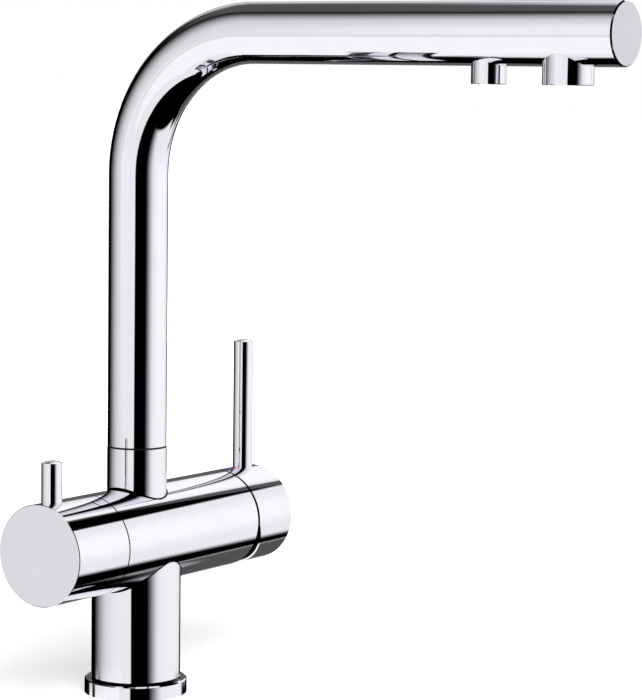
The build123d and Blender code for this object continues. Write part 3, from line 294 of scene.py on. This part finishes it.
def blend_fillet(name, upright_radius, barrel_radius, barrel_z, radius, above):
    """Rounded corner between an upright cylinder on the Z axis and the barrel across it.

    It is a closed ring, whose hidden corner is set a little into both pieces.
    """
    steps, slices = 180, 14   # round the upright, and across the corner
    inset = 0.0003
    side = 1 if above else -1
    reach = upright_radius + radius
    points, normals, faces = [], [], []
    for step in range(steps):
        turn = 2 * math.pi * step / steps
        out = Vector((math.cos(turn), math.sin(turn), 0))
        rise = math.sqrt((barrel_radius + radius) ** 2 - (reach * out.y) ** 2)
        centre = Vector((reach * out.x, reach * out.y, side * rise))
        to_upright = -out
        to_barrel = Vector((0, -centre.y, -centre.z)).normalized()
        spread = to_upright.angle(to_barrel)
        for cut in range(slices + 1):
            part = cut / slices
            way = (
                math.sin((1 - part) * spread) * to_upright + math.sin(part * spread) * to_barrel
            ) / math.sin(spread)
            points.append(centre + radius * way)
            normals.append(-way)
        inner = (upright_radius - inset) * out
        corner = math.sqrt(barrel_radius ** 2 - inner.y ** 2) - inset
        for hidden in (
            centre + (radius + inset) * to_barrel,
            Vector((inner.x, inner.y, side * corner)),
            centre + (radius + inset) * to_upright,
        ):
            points.append(hidden)
            normals.append(out)
    ring = slices + 4
    for step in range(steps):
        here, there = step * ring, (step + 1) % steps * ring
        for cut in range(ring):
            after = (cut + 1) % ring
            face = (here + cut, there + cut, there + after, here + after)
            faces.append(face if above else face[::-1])
    mesh = bpy.data.meshes.new(name)
    mesh.from_pydata([point + Vector((0, 0, barrel_z)) for point in points], [], faces)
    mesh.polygons.foreach_set("use_smooth", [True] * len(faces))
    mesh.normals_split_custom_set_from_vertices(normals)
    fillet = bpy.data.objects.new(name, mesh)
    bpy.context.scene.collection.objects.link(fillet)
    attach(fillet, "tap")
    return fillet


def dress(material, *nodes):
    """Gives CAD nodes a finish in every slot of theirs."""
    for node in nodes:
        piece = NODES[node]
        if not piece.material_slots:
            piece.data.materials.append(material)
        for slot in piece.material_slots:
            slot.material = material


# Settings

class TapFinishes(PropertyGroup):
    chrome: FloatVectorProperty(
        name="Chrome", description="Colour of the plating", subtype="COLOR",
        size=3, min=0, max=1, default=(0.867, 0.867, 0.926))
    chrome_roughness: FloatProperty(
        name="Chrome roughness", description="Average haze of the plating",
        min=0, max=1, default=0.03)
    chrome_waves: FloatProperty(
        name="Chrome waves", description="Depth of the slow waves left by polishing",
        subtype="DISTANCE", unit="LENGTH", min=0, default=0.00005)
    fillet: FloatProperty(
        name="Corner radius", description="Radius of the rounded corners against the barrel",
        subtype="DISTANCE", unit="LENGTH", min=0.0002, default=0.001)
    # How far the painted shade reaches beside the knob's seam
    knob_seam_shade: FloatProperty(
        name="Knob seam lip",
        description="How far the shade-painted lips beside the knob's seam reach",
        subtype="DISTANCE", unit="LENGTH", min=0, default=0.00028)
    # How far the painted shade reaches beside the mixer's seam
    mixer_seam_shade: FloatProperty(
        name="Mixer seam lip",
        description="How far the shade-painted lips beside the mixer's seam reach",
        subtype="DISTANCE", unit="LENGTH", min=0, default=0.0005)
    # How far the painted shade reaches beside the swivel's seam
    swivel_seam_shade: FloatProperty(
        name="Swivel seam lip",
        description="How far the shade-painted lips beside the swivel's seam reach",
        subtype="DISTANCE", unit="LENGTH", min=0, default=0.00015)
    # Painted shade: height of a near-black stripe on the column just above the base ring
    foot_shade_stripe: FloatProperty(
        name="Foot stripe", description="Height of the shade-painted stripe above the base ring",
        subtype="DISTANCE", unit="LENGTH", min=0, default=0.0011)
    # Inside this rim the handle's plating is painted near-black: painted shade in the gap behind
    # the handle
    handle_rim: FloatProperty(
        name="Handle rim",
        description="Width of the polished rim on the mixer handle's slanted edge",
        subtype="DISTANCE", unit="LENGTH", min=0, default=0.0008)
    brass: FloatVectorProperty(
        name="Brass", description="Colour of the turned brass pieces", subtype="COLOR",
        size=3, min=0, max=1, default=(0.74, 0.56, 0.29))
    stainless: FloatVectorProperty(
        name="Stainless steel", description="Colour of screws, pin and clip", subtype="COLOR",
        size=3, min=0, max=1, default=(0.62, 0.61, 0.59))
    alumina: FloatVectorProperty(
        name="Ceramic", description="Colour of the ceramic discs", subtype="COLOR",
        size=3, min=0, max=1, default=(0.82, 0.8, 0.76))
    rubber: FloatVectorProperty(
        name="Rubber", description="Colour of seals and gasket", subtype="COLOR",
        size=3, min=0, max=1, default=(0.022, 0.022, 0.024))
    black_plastic: FloatVectorProperty(
        name="Black plastic",
        description="Colour of the glide ring, the outlet's insert and the dome behind the handle",
        subtype="COLOR", size=3, min=0, max=1, default=(0.03, 0.03, 0.033))
    white_plastic: FloatVectorProperty(
        name="White plastic", description="Colour of the bearings and the cartridge's moving parts",
        subtype="COLOR", size=3, min=0, max=1, default=(0.78, 0.78, 0.75))
    grey_plastic: FloatVectorProperty(
        name="Grey plastic", description="Colour of the cartridge's casing", subtype="COLOR",
        size=3, min=0, max=1, default=(0.3, 0.31, 0.33))
    cold: FloatVectorProperty(
        name="Cold mark", description="Colour of the cold water mark", subtype="COLOR",
        size=3, min=0, max=1, default=(0.02, 0.1, 0.5))
    hot: FloatVectorProperty(
        name="Hot mark", description="Colour of the hot water mark", subtype="COLOR",
        size=3, min=0, max=1, default=(0.6, 0.02, 0.03))


class TapStudio(PropertyGroup):
    lens: FloatProperty(
        name="Lens", description="Focal length for a 36 mm wide sensor, in millimetres",
        min=1, default=141.675)
    turn: FloatProperty(
        name="Turn", description="Where the camera stands round the tap", subtype="ANGLE",
        unit="ROTATION", default=math.radians(-56.251))
    tilt: FloatProperty(
        name="Tilt", description="How far the camera looks down", subtype="ANGLE",
        unit="ROTATION", default=math.radians(5.696))
    roll: FloatProperty(
        name="Roll", description="How far the camera leans", subtype="ANGLE",
        unit="ROTATION", default=math.radians(0.717))
    stand: FloatVectorProperty(
        name="Camera position", description="Where the camera is", subtype="TRANSLATION",
        unit="LENGTH", size=3, default=(-1.05479, -0.81164, 0.30133))
    floor: FloatVectorProperty(
        name="Floor", description="Colour of the floor", subtype="COLOR",
        size=3, min=0, max=1, default=(0.9, 0.9, 0.9))
    floor_lift: FloatProperty(
        name="Floor lift", description="Light added to the floor where the camera sees it",
        min=0, default=0.3)
    daylight: FloatProperty(
        name="Even light", description="Level of the even light on matt surfaces",
        min=0, default=0.6)
    key: FloatProperty(
        name="Key light", description="Power of the large soft lamp, in watts", unit="POWER",
        min=0, default=22.0)
    fill: FloatProperty(
        name="Fill light", description="Power of the second soft lamp, in watts", unit="POWER",
        min=0, default=9.0)


# Studio

FLOOR_HALF_SIDE = 20.0
FLOOR_GAP = 0.00005              # under the tap, in metres
SHADOW_FADE = (0.25, 0.9)        # where the floor starts to turn white and where it is white

# Each lamp: name, the setting with its power, its side in metres, and where it stands
SOFT_LAMPS = (
    ("key_lamp", "key", 1.2, (-1.0, -1.3, 1.5)),
    ("fill_lamp", "fill", 1.6, (1.4, 0.9, 1.3)),
)

# Each card: name, light, the azimuths where it starts, is full, stops being full and ends,
# the same for elevation, how its sides lean and how its lower and upper edges slope.
# Azimuth runs from +X towards +Y, in degrees. Later cards lie over earlier ones.
STUDIO_LIGHT = 0.93   # behind the cards
CARD_EDGES = ("Starts", "Full", "Stops", "Ends")
STUDIO_CARDS = (
    ("bright panel in front", 1.08, (-85, -55, -22, -6), (-20, 0, 12, 30), 0, 0),
    ("bright strip over the mixer", 1.08, (-8, 0, 30, 36), (12, 20, 50, 60), 0, 0),
    ("grey wall at the back", 0.72, (20, 45, 112, 176), (-34, -14, 62, 70), 0.008, 0),
    ("bright wall beside the run", 0.97, (142, 150, 181, 182), (-9, -2, 14, 32), 0, 0),
    ("black flag at the back", 0.0, (44, 56, 80, 138), (-24, -15, 62, 70), 0.008, 0),
    ("bright low wall", 1.05, (88, 93, 181, 182), (-62, -56, -12.9, -12.2), 0, 0),
    ("thin strip by the base ring", 0.0, (101, 105, 111, 116), (-16, -14, -12.6, -12.3), 0, 0),
    ("low black strip", 0.0, (2, 14, 60, 66), (-20, -16, 2, 13), 0, 0),
    ("dark band above it", 0.12, (26, 28, 40, 50), (-6, -4, 16.5, 20.5), 0, 0),
    ("dark ceiling at the back", 0.09, (20, 34, 66, 88), (20, 42, 62, 70), 0.008, 0),
    ("black floor", 0.0, (-156.5, -153.5, 76, 96), (-200, -190, -39, -36.5), 0, 0),
    ("black floor in front", 0.0, (-156.5, -153.5, -28, -20), (-200, -190, -43, -34), 0, 0),
    ("grey skirting", 0.09, (-12.5, -8, 62, 74), (-38.1, -37.2, -24, -15), 0, 0),
    ("black corner of the floor", 0.0, (-32, -30, -13, -8), (-200, -190, -31.3, -26), 0, 0),
    ("black card over the mixer", 0.0, (-28, -26.5, -11, -8.5), (30.4, 32, 50, 60), 0, 0),
    ("grey card over the mixer", 0.1, (-18.5, -16.5, -8, -6), (42, 44.5, 47.2, 48.4), 0, 0.96),
    ("black card over the knob", 0.0, (-25.5, -22, -11, -6.5), (36.5, 37.5, 50, 60), 0, 0),
    ("grey card before the spout", 0.77, (-33, -30.5, -24, -21.5), (-2, -0.5, 4, 6), 0, 0),
    ("flag beside the camera", 0.0, (-156.5, -153.5, -114, -78), (-95, -90, 45, 60), 0, 0),
    ("black card overhead", 0.0, (-125, -115, -18, -12), (41, 44, 58, 61), 0, 0),
    ("black strip by the base ring", 0.0, (-22, -10, 30, 40), (-16, -14, -12.7, -12.3), 0, 0),
)


def studio_card_group():
    """Shader group that lays one soft-edged card over the light behind it."""
    group = bpy.data.node_groups.new("studio card", "ShaderNodeTree")
    names = ["Behind", "Azimuth", "Elevation", "Light", "Lean", "Slope"]
    names += [f"{axis} {edge}" for axis in ("Azimuth", "Elevation") for edge in CARD_EDGES]
    for name in names:
        group.interface.new_socket(name, in_out="INPUT", socket_type="NodeSocketFloat")
    group.interface.new_socket("Result", in_out="OUTPUT", socket_type="NodeSocketFloat")
    given = add(group, "NodeGroupInput").outputs
    height = math_node(group, "MAXIMUM", given["Elevation"], 0.0)
    lean = math_node(group, "MULTIPLY", math_node(group, "MULTIPLY", height, height), given["Lean"])
    slope = math_node(group, "MULTIPLY", given["Azimuth"], given["Slope"])
    way = {
        "Azimuth": math_node(group, "SUBTRACT", given["Azimuth"], lean),
        "Elevation": math_node(group, "SUBTRACT", given["Elevation"], slope),
    }
    cover = None
    for axis in ("Azimuth", "Elevation"):
        for edge in (("Starts", "Full", 0.0, 1.0), ("Stops", "Ends", 1.0, 0.0)):
            step = add(
                group, "ShaderNodeMapRange",
                {"Value": way[axis], "From Min": given[f"{axis} {edge[0]}"],
                 "From Max": given[f"{axis} {edge[1]}"], "To Min": edge[2], "To Max": edge[3]},
                interpolation_type="SMOOTHSTEP",
            ).outputs["Result"]
            cover = step if cover is None else math_node(group, "MULTIPLY", cover, step)
    mixed = add(group, "ShaderNodeMix", {0: cover, 2: given["Behind"], 3: given["Light"]})
    out = add(group, "NodeGroupOutput")
    group.links.new(mixed.outputs[0], out.inputs["Result"])
    return group


def build_world(studio):
    """Even light on matt surfaces, a white background, and soft cards for the chrome to reflect."""
    world = bpy.data.worlds.new("studio")
    bpy.context.scene.world = world
    world.use_nodes = True
    tree = world.node_tree
    tree.nodes.clear()
    way = add(tree, "ShaderNodeTexCoord").outputs["Generated"]
    parts = add(tree, "ShaderNodeSeparateXYZ", {0: way}).outputs
    around = math_node(tree, "ARCTAN2", parts["Y"], parts["X"])
    degrees = math.degrees(1)
    azimuth = math_node(tree, "MULTIPLY", around, degrees)
    elevation = math_node(tree, "MULTIPLY", math_node(tree, "ARCSINE", parts["Z"]), degrees)
    group = studio_card_group()
    light = None
    for name, level, azimuths, elevations, lean, slope in STUDIO_CARDS:
        card = add(tree, "ShaderNodeGroup", node_tree=group, label=name)
        if light is None:
            card.inputs["Behind"].default_value = STUDIO_LIGHT
        else:
            tree.links.new(light, card.inputs["Behind"])
        tree.links.new(azimuth, card.inputs["Azimuth"])
        tree.links.new(elevation, card.inputs["Elevation"])
        card.inputs["Light"].default_value = level
        card.inputs["Lean"].default_value = lean
        card.inputs["Slope"].default_value = slope
        for axis, values in (("Azimuth", azimuths), ("Elevation", elevations)):
            for edge, value in zip(CARD_EDGES, values):
                card.inputs[f"{axis} {edge}"].default_value = value
        light = card.outputs["Result"]
    path = add(tree, "ShaderNodeLightPath").outputs
    mirrored = math_node(tree, "MAXIMUM", path["Is Glossy Ray"], path["Is Transmission Ray"])
    seen = add(tree, "ShaderNodeMix", {0: mirrored, 2: studio.daylight, 3: light}).outputs[0]
    level = add(tree, "ShaderNodeMix", {0: path["Is Camera Ray"], 2: seen, 3: 1.0}).outputs[0]
    back = add(tree, "ShaderNodeBackground", {"Color": (1, 1, 1, 1), "Strength": level})
    out = add(tree, "ShaderNodeOutputWorld")
    tree.links.new(back.outputs[0], out.inputs["Surface"])


def build_floor(studio):
    """Pale floor under the tap. The chrome reflects the studio's cards and not this floor."""
    mesh = bpy.data.meshes.new("studio_floor")
    corners = [
        (x * FLOOR_HALF_SIDE, y * FLOOR_HALF_SIDE, 0)
        for x, y in ((-1, -1), (1, -1), (1, 1), (-1, 1))
    ]
    mesh.from_pydata(corners, [], [(0, 1, 2, 3)])
    floor = bpy.data.objects.new("studio_floor", mesh)
    floor.location.z = CAD_LOW.z - FLOOR_GAP
    bpy.context.scene.collection.objects.link(floor)
    material = bpy.data.materials.new("studio paper")
    material.use_nodes = True
    tree = material.node_tree
    tree.nodes.clear()
    cloud = noise(tree, place(tree), 3, 2)
    tone = two_tone(tree, between(tree, cloud, 0, 1), shade(studio.floor, 0.995), studio.floor)
    matt = add(tree, "ShaderNodeBsdfDiffuse", {"Color": tone, "Roughness": 1.0})
    path = add(tree, "ShaderNodeLightPath").outputs
    away = add(tree, "ShaderNodeVectorMath", {0: place(tree)}, operation="LENGTH").outputs["Value"]
    far = add(
        tree, "ShaderNodeMapRange",
        {"Value": away, "From Min": SHADOW_FADE[0], "From Max": SHADOW_FADE[1],
         "To Min": studio.floor_lift, "To Max": 1.0},
    ).outputs["Result"]
    lift = math_node(tree, "MULTIPLY", path["Is Camera Ray"], far)
    glow = add(tree, "ShaderNodeEmission", {"Strength": lift})
    both = add(tree, "ShaderNodeAddShader", {0: matt.outputs[0], 1: glow.outputs[0]})
    out = add(tree, "ShaderNodeOutputMaterial")
    tree.links.new(both.outputs[0], out.inputs["Surface"])
    mesh.materials.append(material)
    floor.visible_glossy = False
    floor.visible_transmission = False


def soft_lamp(name, power, side, stand, target):
    """Square lamp aimed at a target, which the chrome doesn't mirror."""
    light = bpy.data.lights.new(name, "AREA")
    light.shape = "SQUARE"
    light.size = side
    light.energy = power
    lamp = bpy.data.objects.new(name, light)
    lamp.location = stand
    lamp.rotation_mode = "QUATERNION"
    lamp.rotation_quaternion = (Vector(target) - Vector(stand)).to_track_quat("-Z", "Y")
    lamp.visible_glossy = False
    lamp.visible_camera = False
    bpy.context.scene.collection.objects.link(lamp)


def build_camera(studio):
    """Camera at the photograph's viewing angle."""
    data = bpy.data.cameras.new("photo_camera")
    data.sensor_width = 36
    data.sensor_fit = "AUTO"
    data.lens = studio.lens
    data.clip_start = 0.05
    data.clip_end = 50
    camera = bpy.data.objects.new("photo_camera", data)
    bpy.context.scene.collection.objects.link(camera)
    back = Vector((
        math.sin(studio.turn) * math.cos(studio.tilt),
        -math.cos(studio.turn) * math.cos(studio.tilt),
        math.sin(studio.tilt),
    ))
    level = (-back).cross(Vector((0, 0, 1))).normalized()
    upright = level.cross(-back)
    right = math.cos(studio.roll) * level + math.sin(studio.roll) * upright
    up = -math.sin(studio.roll) * level + math.cos(studio.roll) * upright
    aim = Matrix((right, up, back)).transposed().to_4x4()
    camera.matrix_world = Matrix.Translation(studio.stand) @ aim
    bpy.context.scene.camera = camera


# Operators

class TAP_OT_studio(Operator):
    """Set up the camera, the pale floor, the soft lamps and the studio that the chrome reflects"""
    bl_idname = "tap.studio"
    bl_label = "Studio"

    def execute(self, context):
        studio = context.scene.tap_studio
        build_camera(studio)
        build_world(studio)
        build_floor(studio)
        middle = (CAD_LOW + CAD_HIGH) / 2
        for name, setting, side, stand in SOFT_LAMPS:
            soft_lamp(name, getattr(studio, setting), side, stand, middle)
        context.scene.view_settings.view_transform = "Standard"
        return {"FINISHED"}


class TAP_OT_body(Operator):
    """Finish the column, the barrel, the neck and the base ring with its gasket"""
    bl_idname = "tap.body"
    bl_label = "Body and base"

    def execute(self, context):
        looks = context.scene.tap_finishes
        barrel_low, barrel_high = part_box("body_barrel")
        ring_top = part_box("base_ring")[1].z
        # Painted shade beside the barrel's seams with the knob and the mixer handle, and in a
        # stripe above the base ring
        seams = (
            ("X", barrel_low.x, looks.knob_seam_shade),
            ("X", barrel_high.x, looks.mixer_seam_shade),
            ("Z", ring_top, looks.foot_shade_stripe),
        )
        plating = plated_chrome("body plating", looks.chrome_waves, seams=seams)
        dress(plating, "body_column", "body_barrel")
        barrel_radius = (barrel_high.y - barrel_low.y) / 2
        corners = (("neck_fillet", "spout_neck", True), ("column_fillet", "body_column", False))
        for name, node, above in corners:
            low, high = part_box(node)
            fillet = blend_fillet(
                name, (high.y - low.y) / 2, barrel_radius, BARREL_AXIS.z, looks.fillet, above)
            fillet.data.materials.append(plating)
        # Painted shade beside the swivel's seam
        seams = (("Z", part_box("spout_neck")[1].z, looks.swivel_seam_shade),)
        dress(plated_chrome("neck plating", looks.chrome_waves, "Z", seams=seams), "spout_neck")
        dress(plated_chrome("base ring plating", looks.chrome_waves, "Z"), "base_ring")
        dress(moulded("gasket rubber", looks.rubber, COARSE_RUBBER, roughness=0.7), "base_gasket")
        return {"FINISHED"}


class TAP_OT_spout(Operator):
    """Finish the bent spout, its end cap and the water tube inside it"""
    bl_idname = "tap.spout"
    bl_label = "Spout"

    def execute(self, context):
        looks = context.scene.tap_finishes
        # Painted shade beside the swivel's seam
        seams = (("Z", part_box("spout_tube")[0].z, looks.swivel_seam_shade),)
        waves = looks.chrome_waves
        dress(plated_chrome("spout plating", waves * TUBE_WAVES, seams=seams), "spout_tube")
        dress(plated_chrome("end cap plating", waves * CAP_WAVES, "Y", SPOUT_END_AXIS),
              "spout_end_cap")
        dress(milky_tube("water tube plastic"), "filtered_water_tube")
        dress(moulded("tube seal rubber", looks.rubber, RUBBER, roughness=0.6), "tube_seal")
        return {"FINISHED"}


class TAP_OT_outlets(Operator):
    """Finish the two outlets under the spout and what is fitted in them"""
    bl_idname = "tap.outlets"
    bl_label = "Outlets"

    def execute(self, context):
        looks = context.scene.tap_finishes
        for node in ("filter_outlet", "mixer_outlet", "aerator_shell"):
            middle = sum(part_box(node), Vector()) / 2
            waves = looks.chrome_waves * SMALL_WAVES
            dress(plated_chrome(f"{node} plating", waves, "Z", middle), node)
        dress(moulded("insert plastic", looks.black_plastic, PLASTIC, roughness=0.45),
              "aerator_insert")
        dress(moulded("stream former plastic", looks.white_plastic, EVEN_PLASTIC, roughness=0.4),
              "stream_former")
        dress(moulded("washer rubber", looks.rubber, RUBBER, roughness=0.65), "aerator_washer")
        return {"FINISHED"}


class TAP_OT_filter_control(Operator):
    """Finish the filtered-water knob, its lever and the valve behind them"""
    bl_idname = "tap.filter_control"
    bl_label = "Filtered-water knob"

    def execute(self, context):
        looks = context.scene.tap_finishes
        # Painted shade beside the knob's seam
        seams = (("X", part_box("filter_knob")[1].x, looks.knob_seam_shade),)
        waves = looks.chrome_waves
        dress(plated_chrome("knob plating", waves * TUBE_WAVES, "X", KNOB_AXIS, seams),
              "filter_knob")
        dress(plated_chrome("short lever plating", waves * SMALL_WAVES), "filter_lever")
        dress(turned_metal("valve brass", looks.brass, "X", BARREL_AXIS, roughness=0.24),
              "valve_body", "valve_spindle")
        dress(moulded("valve ceramic", looks.alumina, CERAMIC, roughness=0.22),
              "valve_fixed_disc", "valve_moving_disc")
        dress(moulded("valve rubber", looks.rubber, RUBBER, roughness=0.55),
              "valve_seat_seal", "valve_body_seal", "valve_spindle_seals")
        dress(turned_metal("clip steel", looks.stainless, "X", BARREL_AXIS, roughness=0.3),
              "valve_circlip")
        return {"FINISHED"}


class TAP_OT_mixer_control(Operator):
    """Finish the mixer handle, its long lever, the dark dome behind it and its two marks"""
    bl_idname = "tap.mixer_control"
    bl_label = "Mixer handle"

    def execute(self, context):
        looks = context.scene.tap_finishes
        low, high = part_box("mixer_handle")
        # Painted shade beside the mixer's seam and inside the handle, short of its rim
        seams = (("X", low.x, looks.mixer_seam_shade),)
        inside = ((high.y - low.y) / 2 - looks.handle_rim, high.x - looks.handle_rim)
        waves = looks.chrome_waves
        dress(
            plated_chrome("handle plating", waves * TUBE_WAVES, "X", BARREL_AXIS, seams, inside),
            "mixer_handle")
        dress(plated_chrome("long lever plating", waves * SMALL_WAVES), "mixer_lever")
        dress(moulded("dome plastic", looks.black_plastic, SMOOTH_PLASTIC, roughness=0.25),
              "cartridge_shroud")
        dress(moulded("cold enamel", looks.cold, ENAMEL, roughness=0.18), "cold_mark")
        dress(moulded("hot enamel", looks.hot, ENAMEL, roughness=0.18), "hot_mark")
        return {"FINISHED"}


class TAP_OT_cartridge(Operator):
    """Finish the mixer cartridge: casings, ceramic discs, carrier, stem, nut and seals"""
    bl_idname = "tap.cartridge"
    bl_label = "Mixer cartridge"

    def execute(self, context):
        looks = context.scene.tap_finishes
        dress(moulded("casing plastic", looks.grey_plastic, PLASTIC, roughness=0.42),
              "cartridge_base", "cartridge_housing")
        dress(moulded("carrier plastic", looks.white_plastic, EVEN_PLASTIC, roughness=0.4),
              "disc_carrier", "cartridge_rotor")
        dress(moulded("mixing ceramic", looks.alumina, CERAMIC, roughness=0.22),
              "fixed_ceramic_disc", "moving_ceramic_disc")
        dress(turned_metal("cartridge brass", looks.brass, "X", BARREL_AXIS, roughness=0.26),
              "lever_stem", "cartridge_nut")
        dress(moulded("cartridge rubber", looks.rubber, RUBBER, roughness=0.6), "cartridge_seals")
        dress(turned_metal("pin steel", looks.stainless, "Y", BARREL_AXIS, roughness=0.25),
              "stem_pivot_pin")
        return {"FINISHED"}


class TAP_OT_swivel(Operator):
    """Finish the spout's foot, its seals and bearings, and the dark ring in the seam"""
    bl_idname = "tap.swivel"
    bl_label = "Spout swivel"

    def execute(self, context):
        looks = context.scene.tap_finishes
        dress(turned_metal("spigot brass", looks.brass, "Z", roughness=0.22), "swivel_spigot")
        dress(moulded("swivel rubber", looks.rubber, RUBBER, roughness=0.55), "swivel_seals")
        dress(moulded("bearing plastic", looks.white_plastic, EVEN_PLASTIC, roughness=0.38),
              "swivel_bearings")
        dress(moulded("glide ring plastic", looks.black_plastic, PLASTIC, roughness=0.5),
              "glide_ring")
        return {"FINISHED"}


class TAP_OT_screws(Operator):
    """Finish the small screws that clamp the handles and hold the spout"""
    bl_idname = "tap.screws"
    bl_label = "Small screws"

    def execute(self, context):
        looks = context.scene.tap_finishes
        for node in ("mixer_grub_screw", "filter_grub_screw", "spout_stop_screw"):
            low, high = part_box(node)
            axis = "XYZ"[max(range(3), key=lambda k: (high - low)[k])]
            steel = turned_metal(
                f"{node} steel", looks.stainless, axis, (low + high) / 2, roughness=0.28)
            dress(steel, node)
        return {"FINISHED"}


PIECE_OPERATORS = (
    TAP_OT_body,
    TAP_OT_spout,
    TAP_OT_outlets,
    TAP_OT_filter_control,
    TAP_OT_mixer_control,
    TAP_OT_cartridge,
    TAP_OT_swivel,
    TAP_OT_screws,
)


class TAP_PT_sidebar(Panel):
    bl_idname = "TAP_PT_sidebar"
    bl_label = "Water filter tap"
    bl_space_type = "VIEW_3D"
    bl_region_type = "UI"
    bl_category = "Tap"

    def draw(self, context):
        column = self.layout.column(align=True)
        column.operator(TAP_OT_studio.bl_idname)
        for operator in PIECE_OPERATORS:
            column.operator(operator.bl_idname)
        for settings in (context.scene.tap_finishes, context.scene.tap_studio):
            box = self.layout.box()
            for name in settings.bl_rna.properties.keys():
                if name not in ("rna_type", "name"):
                    box.prop(settings, name)


CLASSES = (TapFinishes, TapStudio, TAP_OT_studio, *PIECE_OPERATORS, TAP_PT_sidebar)


def register():
    for item in CLASSES:
        bpy.utils.register_class(item)
    bpy.types.Scene.tap_finishes = PointerProperty(type=TapFinishes)
    bpy.types.Scene.tap_studio = PointerProperty(type=TapStudio)


def unregister():
    del bpy.types.Scene.tap_studio
    del bpy.types.Scene.tap_finishes
    for item in reversed(CLASSES):
        bpy.utils.unregister_class(item)


def main():
    register()
    bpy.ops.tap.studio()
    bpy.ops.tap.body()
    bpy.ops.tap.spout()
    bpy.ops.tap.outlets()
    bpy.ops.tap.filter_control()
    bpy.ops.tap.mixer_control()
    bpy.ops.tap.cartridge()
    bpy.ops.tap.swivel()
    bpy.ops.tap.screws()
    bpy.context.view_layer.update()


if __name__ == "__main__":
    main()
